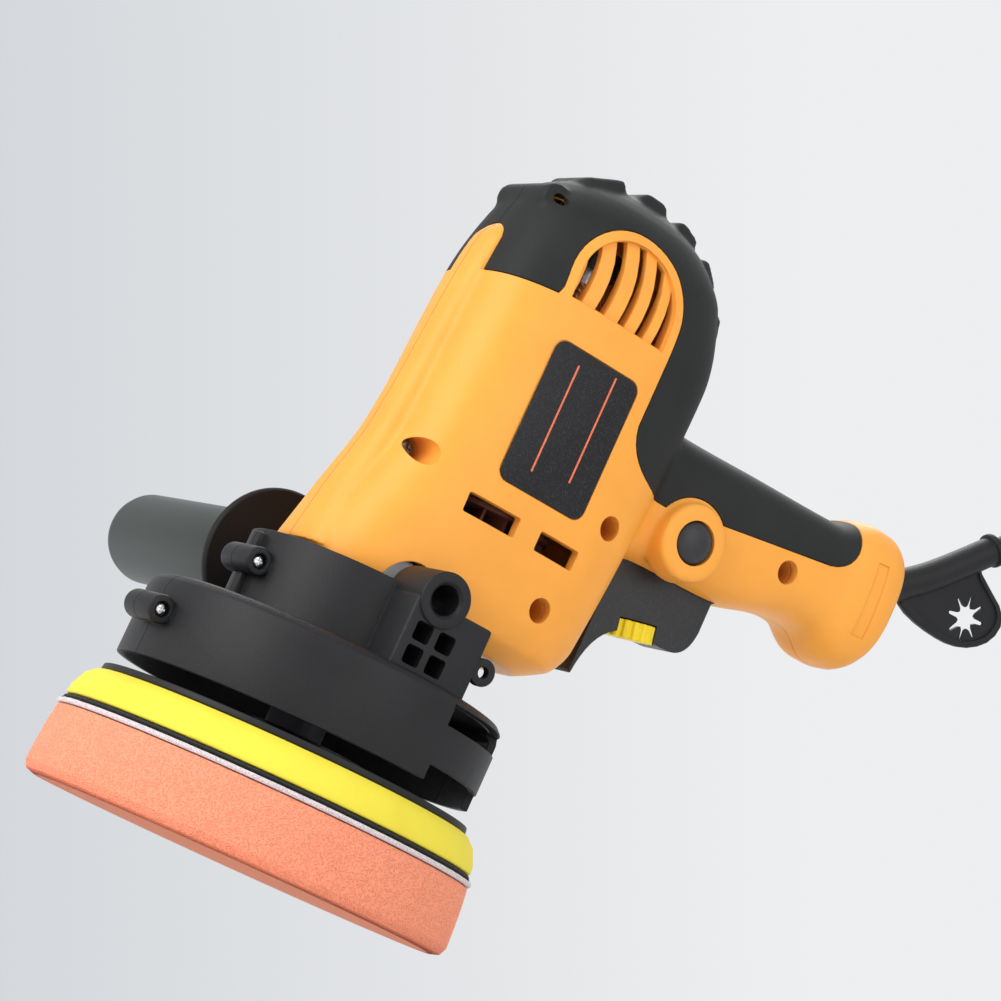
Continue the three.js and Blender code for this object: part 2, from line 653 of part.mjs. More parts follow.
// Cross webs hold the motor and its bearings inside the two halves.
function webs() {
  const inner = roughSkin(BODY_WALL - 1);
  const layer = (z0, z1, radius) => cut(
    inner.intersect(block(-40, 76, -WIDE, WIDE, z0, z1)),
    postZ(radius, MOTOR_X, 0, z0 - 1, z1 + 1, 20));
  const fanWeb = layer(FAN_Z + FAN_HEIGHT + 2, FAN_Z + FAN_HEIGHT + 4, ARMATURE_RADIUS + 1);
  const topWeb = layer(TOP_BEARING_Z, TOP_BEARING_Z + 6, MOTOR_UPPER_BEARING.radius + GAP);
  const air = block(MOTOR_X - 22, MOTOR_X + 22, 14, WIDE, TOP_BEARING_Z - 1, TOP_BEARING_Z + 8);
  const otherAir = block(MOTOR_X - 22, MOTOR_X + 22, -WIDE, -14, TOP_BEARING_Z - 1, TOP_BEARING_Z + 8);
  return join(fanWeb, cut(topWeb, air, otherAir));
}

function screwBosses() {
  return join(...HOUSING_SCREWS.map(([, x, z, reach]) => postY(RECESS_RADIUS + 1.8, x, z, -reach, reach, 10)));
}

function screwHoles(x, z) {
  const recess = postY(RECESS_RADIUS, x, z, -WIDE, -HEAD_DEPTH, 12);
  const shank = postY(SCREW_SHANK_RADIUS + GAP, x, z, -WIDE, SCREW_BITE + 1, 8);
  return join(recess, shank);
}

function ventCuts() {
  const slots = VENT_SLOTS.map(([x0, x1]) => block(x0, x1, -WIDE, WIDE, VENT_LOW_Z, VENT_HIGH_Z));
  const fins = [-13.4, -5.2, 3, 11.2];
  let arch = slabY(archShape(ARCH_RADIUS, ARCH_FOOT_Z), -WIDE, WIDE);
  for (const x of fins) {
    arch = cut(arch, block(ARCH_X + x, ARCH_X + x + 4.2, -WIDE, WIDE, BODY_Z + 100, BODY_Z + 160));
  }
  const middle = block(-60, 90, -24, 24, BODY_Z + 100, BODY_Z + 160);
  return join(...slots, cut(arch, middle));
}

const TRIGGER_X0 = 82.5;
const TRIGGER_X1 = 126;
const TRIGGER_TIP_Z = BODY_Z + 7;
const TRIGGER_FOOT_Z = BODY_Z + 30.5;
const TRIGGER_TOP_Z = BODY_Z + 54;
const SPRING_X = 112;
const SPRING_LOW_Z = TRIGGER_TOP_Z - 9;
const SWITCH_Z = TRIGGER_TOP_Z + TRIGGER_TRAVEL + 2;
const EXIT_Z = BODY_Z + 90.5;       // the lead's way out of the grip's end

// The strain relief leaves the grip and bends upwards: [x, height].
const BOOT_POINTS = [
  [181, 90.5], [194, 90.5], [202, 94], [208, 98.3], [215.5, 104], [222.5, 110.2], [229.6, 117],
  [236.5, 123.8], [240.5, 127.6],
];

function path(points) {
  const vectors = points.map(([x, y, z]) => new THREE.Vector3(x, y, z));
  return new THREE.CatmullRomCurve3(vectors, false, 'centripetal');
}

function roundSection(radius, sides) {
  const shape = new THREE.Shape();
  for (let i = 0; i < sides; i++) {
    const angle = 2 * Math.PI * i / sides;
    const u = radius * Math.cos(angle);
    const v = radius * Math.sin(angle);
    if (i === 0) shape.moveTo(u, v);
    else shape.lineTo(u, v);
  }
  return shape;
}

function tube(points, radius, steps, sides) {
  const options = { steps, bevelEnabled: false, extrudePath: path(points) };
  return new THREE.ExtrudeGeometry(roundSection(radius, sides), options);
}

function bootSleeve(radius) {
  return solid(tube(BOOT_POINTS.map(([x, height]) => [x, 0, BODY_Z + height]), radius, 12, 10));
}

function gripCuts() {
  const halfOpening = TRIGGER_HALF_WIDTH + 0.6;
  const opening = block(TRIGGER_X0 - 1, TRIGGER_X1 + 1, -halfOpening, halfOpening, TRIGGER_FOOT_Z, SWITCH_Z);
  const button = postY(BUTTON_RADIUS + GAP, BUTTON_X, BUTTON_Z, -WIDE, -10, 20);
  const cordHole = bootSleeve(BOOT_RADIUS + 0.5);
  return join(opening, button, cordHole);
}

const LABEL = { x0: 11, x1: 47, z0: BODY_Z + 49, z1: BODY_Z + 100, corner: 4, depth: 1 };

function labelShape(margin) {
  return roundedRectangle(
    LABEL.x0 - margin, LABEL.x1 + margin, LABEL.z0 - margin, LABEL.z1 + margin, LABEL.corner + margin);
}

function labelPocket() {
  const plate = slabY(labelShape(GAP), -WIDE, WIDE);
  const floor = BODY_HALF_WIDTH - LABEL.depth;
  return cut(plate, block(-60, 90, -floor, floor, BODY_Z, BODY_Z + 160));
}

function buttonBoss() {
  return postY(BUTTON_BOSS_RADIUS, BUTTON_X, BUTTON_Z, -26, -15, 20, BUTTON_BOSS_RADIUS + 1.5);
}

function rubberSkin() {
  const region = slabY(rubberShape(GAP), -WIDE, WIDE, 6);
  const shell = cut(skin(0), skin(RUBBER_THICKNESS)).intersect(region);
  return cut(shell, spineShape(-GAP), buttonBossClear());
}

function buttonBossClear() {
  return postY(BUTTON_BOSS_RADIUS + GAP + 1.6, BUTTON_X, BUTTON_Z, -30, -14, 20);
}

// Soft ribs over the rear of the motor: each is a short bar across the outer curve.
function rubberRibs() {
  const places = [[16, 161, 10], [40, 163.5, 12], [60, 157, 12], [74, 145.5, 12], [83, 128, 12]];
  const bars = places.map(([x, height, reach]) => postY(4, x, BODY_Z + height, -reach, reach, 8));
  return cut(join(...bars), skin(RUBBER_THICKNESS));
}

function upperHorn() {
  const bar = postY(8.5, 0, BODY_Z + 142, -19, 19, 14);
  return cut(bar, skin(RUBBER_THICKNESS), spineShape(-GAP));
}

function buildHousing() {
  const rubberPocket = cut(
    slabY(rubberShape(0), -WIDE, WIDE, 6), skin(RUBBER_THICKNESS + GAP), spineShape(0));
  const inside = roughSkin(BODY_WALL - 1);
  let shell = cut(join(skin(0), spineShape(0)), roughSkin(BODY_WALL));
  shell = join(shell, webs(), screwBosses().intersect(inside));
  shell = cut(shell, rubberPocket, headClearance());
  shell = join(shell, cut(buttonBoss(), roughSkin(BODY_WALL)));
  shell = cut(shell, motorRoom(), ventCuts(), gripCuts(), labelPocket(), bearingPlateRoom());
  for (const [, x, z] of HOUSING_SCREWS) shell = cut(shell, screwHoles(x, z));
  return shell;
}

function motorRoom() {
  const stator = slabZ(
    roundedRectangle(
      MOTOR_X - STATOR_HALF_DEPTH - GAP, MOTOR_X + STATOR_HALF_DEPTH + GAP,
      -STATOR_HALF_WIDTH - GAP, STATOR_HALF_WIDTH + GAP, 14),
    STACK_Z - GAP, STACK_Z + STACK_HEIGHT + GAP);
  const fanRoom = postZ(FAN_RADIUS + 1.5, MOTOR_X, 0, FAN_Z - 2, FAN_Z + FAN_HEIGHT + 1.5, 24);
  return join(stator, fanRoom);
}

// ---------------------------------------------------------------- bearing plate

function plateOutline(margin) {
  const shape = new THREE.Shape();
  shape.absarc(0, 0, 27 + margin, Math.PI / 2, 1.5 * Math.PI, false);
  shape.lineTo(MOTOR_X, -20 - margin);
  shape.absarc(MOTOR_X, 0, 17 + margin, -Math.PI / 2, Math.PI / 2, false);
  return shape;
}

const BEARING_PLATE_HEIGHT = 8.4;

function bearingPlateRoom() {
  return slabZ(plateOutline(GAP), COLLAR_TOP_Z - 2, BEARING_PLATE_Z + BEARING_PLATE_HEIGHT + GAP, 12);
}

function bearingPlate() {
  const top = BEARING_PLATE_Z + BEARING_PLATE_HEIGHT;
  const plate = slabZ(plateOutline(0), BEARING_PLATE_Z, top, 12);
  return cut(
    plate,
    postZ(UPPER_BEARING.radius + GAP, 0, 0, UPPER_BEARING_Z - GAP, top + 1, 28),
    postZ(SPINDLE_RADIUS, 0, 0, BEARING_PLATE_Z - 1, top + 1, 20),
    postZ(MOTOR_LOWER_BEARING.radius + GAP, MOTOR_X, 0, BEARING_PLATE_Z - 1, top + 1, 28));
}

add('bearing_plate', bearingPlate(), 0xa7abb0, 0.45, 0.9);
add('motor_bearing_lower', bearing(MOTOR_LOWER_BEARING, MOTOR_X, BEARING_PLATE_Z + GAP), STEEL, 0.3, 1);
add('motor_bearing_upper', bearing(MOTOR_UPPER_BEARING, MOTOR_X, TOP_BEARING_Z + GAP), STEEL, 0.3, 1);

// ---------------------------------------------------------------- head housing

const SLOT_FROM = -75;
const SLOT_TO = -24;

function ringSector(inner, outer, from, to, z0, z1) {
  const shape = new THREE.Shape();
  const a = THREE.MathUtils.degToRad(from);
  const b = THREE.MathUtils.degToRad(to);
  shape.absarc(0, 0, outer, a, b, false);
  shape.absarc(0, 0, inner, b, a, true);
  return slabZ(shape, z0, z1, 6);
}

function headHousing() {
  const top = COLLAR_Z;
  const r = SHROUD_RADIUS;
  const w = SHROUD_WALL;
  const neck = LOWER_BEARING.radius;
  const outer = turned([
    [0, SHROUD_Z], [r, SHROUD_Z], [r, top - SHROUD_ROUND], [r - 1.5, top - 1.5], [r - SHROUD_ROUND, top],
    [COLLAR_RADIUS, top], [COLLAR_RADIUS, COLLAR_TOP_Z], [0, COLLAR_TOP_Z],
  ]);
  const under = turned([
    [0, SHROUD_Z - 1], [r - w, SHROUD_Z - 1], [r - w, top - SHROUD_ROUND], [r - w - 3, top - w],
    [neck + 6, top - w], [neck + 4, top - w - 4], [neck - 4, top - w - 4], [neck - 4, LOWER_BEARING_Z - 1.2],
    [0, LOWER_BEARING_Z - 1.2],
  ]);
  const seat = postZ(neck + GAP, 0, 0, LOWER_BEARING_Z - GAP, COLLAR_TOP_Z + 1, 32);
  const chamber = postZ(COLLAR_RADIUS - COLLAR_WALL, 0, 0, LOWER_BEARING_Z + 9, COLLAR_TOP_Z + 1, 32);
  const through = postZ(SPINDLE_RADIUS + 3, 0, 0, SHROUD_Z, COLLAR_TOP_Z, 24);
  return cut(join(outer, sideBossSolids(), clampBosses()), under, seat, chamber, through, headHoles());
}

function sideBossSolids() {
  const reach = HANDLE_BOSS_REACH;
  const root = COLLAR_RADIUS - 5;
  const r = HANDLE_BOSS_RADIUS;
  const near = postY(r, 0, HANDLE_BORE_Z, -reach, -root, 20);
  const far = postY(r, 0, HANDLE_BORE_Z, root, reach, 20);
  const web = block(-r, 21, -reach + 1, reach - 1, COLLAR_Z - 2, COLLAR_TOP_Z - 2.5);
  return join(near, far, web, eyelet(-1), eyelet(1));
}

const EYELET_X = 24.5;

function eyelet(side) {
  const middle = side * (HANDLE_BOSS_REACH - 4);
  return postY(4.6, EYELET_X, EYELET_Z, middle - 1.6, middle + 1.6, 18);
}

function clampBosses() {
  const h = CLAMP_HALF_LENGTH;
  const low = postY(CLAMP_RADIUS, -SHROUD_RADIUS - 3, SHROUD_Z + 15, -h, h, 18);
  const high = postY(CLAMP_RADIUS, -COLLAR_RADIUS - CLAMP_STAND, COLLAR_TOP_Z - 12, -h, h, 18);
  const rib = block(-COLLAR_RADIUS - CLAMP_STAND, -COLLAR_RADIUS + 3, -2.5, 2.5, COLLAR_Z - 1, COLLAR_TOP_Z - 2);
  return join(low, high, rib);
}

// Four square pockets lighten each side block, and the threaded bores take the side handle.
function headHoles() {
  const tools = [];
  const inner = SHROUD_RADIUS - SHROUD_WALL - 2;
  for (const side of [-1, 1]) {
    const face = side * (HANDLE_BOSS_REACH + 2);
    const floor = side * (HANDLE_BOSS_REACH - 12);
    for (const x of [-5.8, 3.2]) {
      for (const z of [COLLAR_Z + 1.5, COLLAR_Z + 9.5]) {
        tools.push(block(x, x + 6.5, Math.min(face, floor), Math.max(face, floor), z, z + 6.3));
      }
    }
    const back = side * (COLLAR_RADIUS - 6);
    tools.push(postY(HANDLE_BORE_RADIUS, 0, HANDLE_BORE_Z, Math.min(face, back), Math.max(face, back), 20));
    tools.push(postY(2, EYELET_X, EYELET_Z, side * 48 - 8, side * 48 + 12, 12));
    const [from, to] = side < 0 ? [SLOT_FROM, SLOT_TO] : [-SLOT_TO, -SLOT_FROM];
    tools.push(ringSector(inner, SHROUD_RADIUS + 3, from, to, COLLAR_Z - 10, COLLAR_Z - 3.5));
  }
  tools.push(ringSector(inner, SHROUD_RADIUS + 3, SLOT_FROM, SLOT_TO, SHROUD_Z - 2, SHROUD_Z + 5.5));
  tools.push(postY(1.9, -SHROUD_RADIUS - 3, SHROUD_Z + 15, -WIDE, WIDE, 10));
  tools.push(postY(1.9, -COLLAR_RADIUS - CLAMP_STAND, COLLAR_TOP_Z - 12, -WIDE, WIDE, 10));
  return join(...tools);
}

const head = headHousing();
for (const [name, side] of sideNames) {
  add('head_housing_' + name, head.intersect(halfSpace(side)), BLACK_PLASTIC, 0.55);
}

function clampScrew(x, z) {
  const end = CLAMP_HALF_LENGTH + GAP;
  return join(
    postY(3.1, x, z, -end - 2.2, -end, 14), postY(1.5, x, z, -end - 0.5, end + 2.5, 10),
    postY(3.3, x, z, end, end + 2.4, 6));
}

add('clamp_screw_shroud', clampScrew(-SHROUD_RADIUS - 3, SHROUD_Z + 15), STEEL, 0.3, 1);
add('clamp_screw_collar', clampScrew(-COLLAR_RADIUS - CLAMP_STAND, COLLAR_TOP_Z - 12), STEEL, 0.3, 1);

// ---------------------------------------------------------------- housing pieces into the group

const housing = buildHousing();
const rubber = join(rubberSkin(), rubberRibs(), upperHorn());
for (const [name, side] of sideNames) {
  add('body_' + name, housing.intersect(halfSpace(side)), ORANGE, 0.45);
}
for (const [name, side] of sideNames) {
  let piece = rubber.intersect(halfSpace(side));
  for (const [, x, z] of HOUSING_SCREWS) piece = cut(piece, screwHoles(x, z));
  add('rubber_' + name, piece, RUBBER, 0.8);
}

function label(side) {
  const y = side * BODY_HALF_WIDTH;
  const inner = side * (BODY_HALF_WIDTH - LABEL.depth + GAP);
  return slabY(labelShape(0), Math.min(y, inner), Math.max(y, inner), 5);
}

for (const [name, side] of sideNames) add('label_' + name, label(side), 0x2c2b2d, 0.7);

function housingScrew(x, z) {
  const face = -HEAD_DEPTH - GAP;
  return join(
    postY(SCREW_HEAD_RADIUS, x, z, face - HEAD_HEIGHT, face, 14),
    postY(SCREW_SHANK_RADIUS, x, z, face - 0.5, SCREW_BITE, 10));
}

for (const [name, x, z] of HOUSING_SCREWS) add(name, housingScrew(x, z), STEEL, 0.35, 1);

// ---------------------------------------------------------------- side handle

function sideHandle() {
  const start = HANDLE_BOSS_REACH + GAP;
  const face = SHROUD_RADIUS + GAP;
  const flangeEnd = face + SIDE_FLANGE_THICKNESS;
  const flange = postY(SIDE_FLANGE_RADIUS, 0, HANDLE_BORE_Z, face, flangeEnd, 32);
  const neck = postY(11, 0, HANDLE_BORE_Z, start, face + 1, 20);
  const bore = postY(HANDLE_BORE_RADIUS, 0, HANDLE_BORE_Z, start - 1, start + 40, 16);
  return { flange: cut(join(flange, neck), bore), flangeEnd };
}

// The grip is a smooth barrel that swells slightly and ends in a dome.
function sideGrip(start) {
  const r = SIDE_GRIP_RADIUS;
  const end = start + SIDE_GRIP_LENGTH;
  const hole = HANDLE_BORE_RADIUS;
  const profile = [
    [0, start + 32], [hole, start + 32], [hole, start], [r - 0.5, start], [r + 0.3, start + 30],
    [r, end - 14], [r - 3, end - 6], [r - 8, end - 1.4], [0, end],
  ];
  const grip = turned(profile, 0, 0, 28);
  const geometry = geometryOf(grip);
  geometry.rotateX(-Math.PI / 2);
  geometry.translate(0, 0, HANDLE_BORE_Z);
  return geometry;
}

function sideStud(end) {
  return postY(HANDLE_BORE_RADIUS - GAP, 0, HANDLE_BORE_Z, COLLAR_RADIUS - 4, end + 30, 16);
}

const side = sideHandle();
add('side_handle_flange', side.flange, 0x1d1d1e, 0.6);
add('side_handle_grip', sideGrip(side.flangeEnd + GAP), 0x4a4f4d, 0.55);
add('side_handle_stud', sideStud(side.flangeEnd), STEEL, 0.35, 1);

// ---------------------------------------------------------------- trigger, dial and lock button

function triggerShape() {
  const shape = new THREE.Shape();
  shape.moveTo(TRIGGER_X0, TRIGGER_TIP_Z + 1);
  shape.lineTo(TRIGGER_X0 + 1.2, TRIGGER_TIP_Z);
  shape.quadraticCurveTo(TRIGGER_X0 + 3, TRIGGER_FOOT_Z - 4, TRIGGER_X0 + 16, TRIGGER_FOOT_Z - 1);
  shape.lineTo(TRIGGER_X1 - 9, TRIGGER_FOOT_Z);
  shape.quadraticCurveTo(TRIGGER_X1 - 1, TRIGGER_FOOT_Z + 0.5, TRIGGER_X1, TRIGGER_FOOT_Z + 11);
  shape.lineTo(TRIGGER_X1, TRIGGER_TOP_Z);
  shape.lineTo(TRIGGER_X0, TRIGGER_TOP_Z);
  return shape;
}

// The speed dial lies flat in the trigger, tipped to follow the finger's curve.
const DIAL_X = 101.5;
const DIAL_Z = TRIGGER_FOOT_Z + 0.5;
const DIAL_TILT = THREE.MathUtils.degToRad(-12);

function tippedDisc(radius, halfHeight, shape) {
  const disc = shape
    ? new THREE.ExtrudeGeometry(shape, { depth: 2 * halfHeight, bevelEnabled: false })
    : new THREE.CylinderGeometry(radius, radius, 2 * halfHeight, 20).rotateX(Math.PI / 2);
  if (shape) disc.translate(0, 0, -halfHeight);
  disc.rotateY(DIAL_TILT);
  disc.translate(DIAL_X, 0, DIAL_Z);
  return solid(disc);
}

function trigger() {
  const plate = slabY(triggerShape(), -TRIGGER_HALF_WIDTH, TRIGGER_HALF_WIDTH, 6);
  const room = tippedDisc(DIAL_RADIUS + 0.8, DIAL_HALF_HEIGHT + 0.5);
  const pivot = tippedDisc(1.5 + GAP, DIAL_HALF_HEIGHT + 4);
  const springSeat = postZ(4, SPRING_X, 0, SPRING_LOW_Z, TRIGGER_TOP_Z + 1, 14);
  return cut(plate, room, pivot, springSeat);
}

function speedDial() {
  const ridges = 20;
  const points = [];
  for (let i = 0; i < ridges; i++) {
    for (const [radius, share] of [[DIAL_RADIUS - 0.8, 0], [DIAL_RADIUS, 0.35], [DIAL_RADIUS, 0.65]]) {
      const angle = 2 * Math.PI * (i + share) / ridges;
      points.push([radius * Math.cos(angle), radius * Math.sin(angle)]);
    }
  }
  return join(tippedDisc(0, DIAL_HALF_HEIGHT, outline(points)), tippedDisc(1.5, DIAL_HALF_HEIGHT + 3));
}

function switchBody() {
  const body = block(92, 130, -9, 9, SWITCH_Z, SWITCH_Z + 24);
  return cut(body, postZ(4, SPRING_X, 0, SWITCH_Z - 1, SWITCH_Z + 2, 14));
}

function lockButton() {
  const face = -27.5;
  const cap = postY(BUTTON_RADIUS, BUTTON_X, BUTTON_Z, face + 1, face + 12, 24);
  const crown = postY(BUTTON_RADIUS - 1.5, BUTTON_X, BUTTON_Z, face, face + 1, 24, BUTTON_RADIUS);
  const stem = postY(2.4, BUTTON_X, BUTTON_Z, face + 11, face + 14.5, 12);
  return join(cap, crown, stem);
}

// A flat coil spring round the button's stem, clear of the button at the end of its travel.
function lockSpring() {
  const low = -15.5 + BUTTON_TRAVEL + GAP;
  return cut(
    postY(4.4, BUTTON_X, BUTTON_Z, low, low + 2.6, 14), postY(2.9, BUTTON_X, BUTTON_Z, low - 1, low + 4, 14));
}

add('trigger', trigger(), 0x39393b, 0.5);
add('speed_dial', speedDial(), 0xf0d728, 0.5);
add('lock_button', lockButton(), 0x3b3d3f, 0.55);
add('lock_spring', lockSpring(), STEEL, 0.35, 1);
const springTop = SWITCH_Z + 2 - GAP;
add('trigger_spring', postZ(3, SPRING_X, 0, SPRING_LOW_Z + GAP, springTop, 12), STEEL, 0.35, 1);
add('switch_body', switchBody(), 0x2f3133, 0.5);
add('speed_board', block(150, 172, 2, 3.6, EXIT_Z - 21, EXIT_Z - 1), 0x2e6b45, 0.5);

// ---------------------------------------------------------------- cord

const CORD_END_Z = 4.2;

// The free lead arches over and comes down beside the tool.
const CORD_POINTS = [
  [240.8, 0, 227.9], [248, 1, 234.5], [257, 3, 241], [269, 6, 245], [282, 9, 242], [294, 12, 231],
  [305, 14, 213], [317, 16, 187], [329, 17, 158], [340, 17, 126], [348, 16, 96], [350, 12, 66],
  [345, 3, 38], [334, -12, 18], [316, -30, 8], [299, -45, 4.6], [283, -55, 4.2], [268, -61, 4.2],
];

// The teardrop flap under the strain relief, which holds the wrench: [x, height].
const FLAP_POINTS = [
  [207, 94], [208.5, 90], [213, 88.2], [219, 87], [225, 86.4], [231, 86.2], [236, 86.4], [241, 87.3],
  [245.5, 88.9], [249.8, 91.4], [253.4, 94.6], [255.8, 98.6], [256.6, 102.8], [255.4, 106.6], [252, 109.6],
  [246.2, 112.5], [238.5, 116.5], [234, 121.3], [226, 113.6], [216, 104.4],
];
const STAR_X = 240;
const STAR_Z = BODY_Z + 98.8;

function flap() {
  return slabY(outline(FLAP_POINTS.map(([x, height]) => [x, BODY_Z + height])), -1.6, 1.6);
}

function starHole() {
  const points = [];
  for (let i = 0; i < 8; i++) {
    for (const [radius, share] of [[4, -0.5], [4.4, -0.22], [8.6, -0.09], [8.6, 0.09], [4.4, 0.22]]) {
      const angle = 2 * Math.PI * (i + share) / 8;
      points.push([STAR_X + radius * Math.cos(angle), STAR_Z + radius * Math.sin(angle)]);
    }
  }
  return slabY(outline(points), -4, 4);
}

function cordBoot() {
  const retainer = block(182, 184.5, -9, 9, EXIT_Z - 9, EXIT_Z + 9);
  return cut(join(bootSleeve(BOOT_RADIUS), retainer, flap()), starHole());
}

function cordClamp() {
  return block(172, 180.5, -11, 11, EXIT_Z - 9, EXIT_Z - 5.5);
}

add('cord_boot', cordBoot(), 0x1f2021, 0.7);
add('cord_clamp', cordClamp(), 0x2f3133, 0.6);
add('cord', tube(CORD_POINTS, CORD_RADIUS, 38, 8), 0x1b1b1c, 0.6);

const COIL = { x: 225, y: -18 };

function cordCoil() {
  const width = COIL_TURNS_WIDE * CORD_RADIUS;
  const height = (1 + (COIL_LAYERS - 1) * 0.9) * 2 * CORD_RADIUS;
  const base = CORD_END_Z - CORD_RADIUS;
  return turned([
    [COIL_RADIUS - width, base], [COIL_RADIUS + width, base],
    [COIL_RADIUS + width, base + height], [COIL_RADIUS - width, base + height],
  ], COIL.x, COIL.y, 32);
}

function plugBody() {
  const shape = new THREE.Shape();
  shape.moveTo(-14, -5);
  shape.lineTo(6, -9);
  shape.lineTo(20, -9);
  shape.quadraticCurveTo(24, -9, 24, -5);
  shape.lineTo(24, 5);
  shape.quadraticCurveTo(24, 9, 20, 9);
  shape.lineTo(6, 9);
  shape.lineTo(-14, 5);
  return slabZ(shape, 0, 13, 5);
}

function plugPin(y) {
  return postX(2.2, y, 6.5, 24 + GAP, 43, 12);
}

add('cord_coil', cordCoil(), 0x1b1b1c, 0.6);
const plug = new THREE.Group();
plug.position.set(COIL.x - 33, COIL.y - COIL_RADIUS - COIL_TURNS_WIDE * CORD_RADIUS - 2.4, 0.3);
plug.rotation.z = Math.PI;
group.add(plug);
plug.add(add('plug_body', plugBody(), 0x1d1d1e, 0.5));
plug.add(add('plug_pin_a', plugPin(-5), 0xd2c48a, 0.3, 1));
plug.add(add('plug_pin_b', plugPin(5), 0xd2c48a, 0.3, 1));

export default group;
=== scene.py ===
"""Corded rotary polisher: the looks of every piece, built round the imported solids."""
import math
import bpy
from mathutils import Matrix, Vector


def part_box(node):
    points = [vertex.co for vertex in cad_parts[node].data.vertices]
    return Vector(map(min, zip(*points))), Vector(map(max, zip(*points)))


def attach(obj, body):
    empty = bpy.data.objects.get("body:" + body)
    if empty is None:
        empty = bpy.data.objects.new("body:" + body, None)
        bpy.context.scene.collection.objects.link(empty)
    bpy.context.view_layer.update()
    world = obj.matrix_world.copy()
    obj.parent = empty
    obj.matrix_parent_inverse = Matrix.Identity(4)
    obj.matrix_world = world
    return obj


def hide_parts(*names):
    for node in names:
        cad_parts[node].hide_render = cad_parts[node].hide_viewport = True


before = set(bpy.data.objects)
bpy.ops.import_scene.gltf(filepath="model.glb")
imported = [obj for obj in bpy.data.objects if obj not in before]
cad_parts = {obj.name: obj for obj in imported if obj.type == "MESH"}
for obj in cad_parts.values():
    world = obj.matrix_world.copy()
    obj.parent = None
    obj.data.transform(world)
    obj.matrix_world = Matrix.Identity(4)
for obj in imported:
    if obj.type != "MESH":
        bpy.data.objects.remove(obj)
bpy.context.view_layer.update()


# ---------------------------------------------------------------- camera
# It stands just under the level of the pad's face, a metre off the tool's left flank, and is
# rolled so that the pad hangs down to the left and the grip runs off to the right.

scene = bpy.context.scene
scene.view_settings.view_transform = "Standard"


def camera_directions(heading, tilt, roll):
    """The camera's forward, right and up directions, turned by its roll."""
    level = math.cos(tilt)
    forward = Vector((math.sin(heading) * level, math.cos(heading) * level, math.sin(tilt)))
    flat_right = Vector((math.cos(heading), -math.sin(heading), 0))
    flat_up = flat_right.cross(forward)
    right = flat_right * math.cos(roll) - flat_up * math.sin(roll)
    up = flat_right * math.sin(roll) + flat_up * math.cos(roll)
    return forward, right, up


forward, image_right, image_up = camera_directions(
    math.radians(29.97), math.radians(9.59), math.radians(-24.44))
camera_data = bpy.data.cameras.new("camera")
camera_data.sensor_width = 36
camera_data.lens = 108.7
camera_data.clip_start = 0.05
camera = bpy.data.objects.new("camera", camera_data)
scene.collection.objects.link(camera)
camera.matrix_world = Matrix.Translation((-0.4702, -0.8769, -0.022)) @ Matrix(
    (image_right, image_up, -forward)).transposed().to_4x4()
scene.camera = camera


# ---------------------------------------------------------------- lead
# Two-core rubber lead, 7.8 mm thick. It arches out of the strain relief, comes down beside
# the tool and lies on the bench as a coil, three turns wide and two layers high.

MM = 0.001
LEAD_DIAMETER = 7.8 * MM
LEAD_TURNS = 6
TURN_POINTS = 16
LAYER_RISE = 0.96                   # how far one layer lies above the other, in diameters
LEAD_ROUTE = [
    (240.8, 0, 227.9), (248, 1, 234.5), (257, 3, 241), (269, 6, 245), (282, 9, 242), (294, 12, 231),
    (305, 14, 213), (317, 16, 187), (329, 17, 158), (340, 17, 126), (348, 16, 96), (350, 12, 66),
    (345, 3, 38), (334, -12, 18), (316, -30, 8), (299, -45, 4.6), (283, -55, 4.2), (268, -61, 4.2),
    (255.5, -65.5, 4.2), (241, -67.8, 4.2),
]
LEAD_TO_PLUG = [(238.5, -67.2, 12.2), (227, -69.4, 12.2), (215.5, -72.2, 9.8), (206, -74, 7.2)]


def coil_points():
    """The coil's centreline: in to the middle along the bench, then out again on top."""
    low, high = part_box("cord_coil")
    middle = (low + high) / 2
    step = LEAD_DIAMETER
    outer = (high.x - low.x) / 2 - step / 2
    radii = [outer, outer - step, outer - 2 * step, outer - 2 * step, outer - step, outer, outer]
    bench = low.z + step / 2
    heights = [bench] * 3 + [bench + LAYER_RISE * step] * 4
    points = []
    for i in range(LEAD_TURNS * TURN_POINTS):
        turn, share = divmod(i / TURN_POINTS, 1)
        shift = min(1, max(0, (share - 0.75) * 4))
        shift = shift * shift * (3 - 2 * shift)
        radius = radii[int(turn)] * (1 - shift) + radii[int(turn) + 1] * shift
        height = heights[int(turn)] * (1 - shift) + heights[int(turn) + 1] * shift
        angle = math.radians(-90) - 2 * math.pi * i / TURN_POINTS
        points.append((middle.x + radius * math.cos(angle), middle.y + radius * math.sin(angle), height))
    return points


def in_metres(route):
    return [tuple(c * MM for c in point) for point in route]


class Shade:
    """One socket of a finish, used in plain arithmetic."""

    def __init__(self, finish, socket):
        self.finish = finish
        self.socket = socket

    def maths(self, operation, *values):
        return self.finish.node("ShaderNodeMath", {"operation": operation}, dict(enumerate(values)))

    def __add__(self, other):
        return self.maths("ADD", self, other)

    def __rsub__(self, other):
        return self.maths("SUBTRACT", other, self)

    def __mul__(self, other):
        return self.maths("MULTIPLY", self, other)

    def ramp(self, low, high):
        """0 below low, 1 above high, and smooth between them."""
        settings = {"interpolation_type": "SMOOTHSTEP"}
        return self.finish.node("ShaderNodeMapRange", settings, {0: self, 1: low, 2: high})


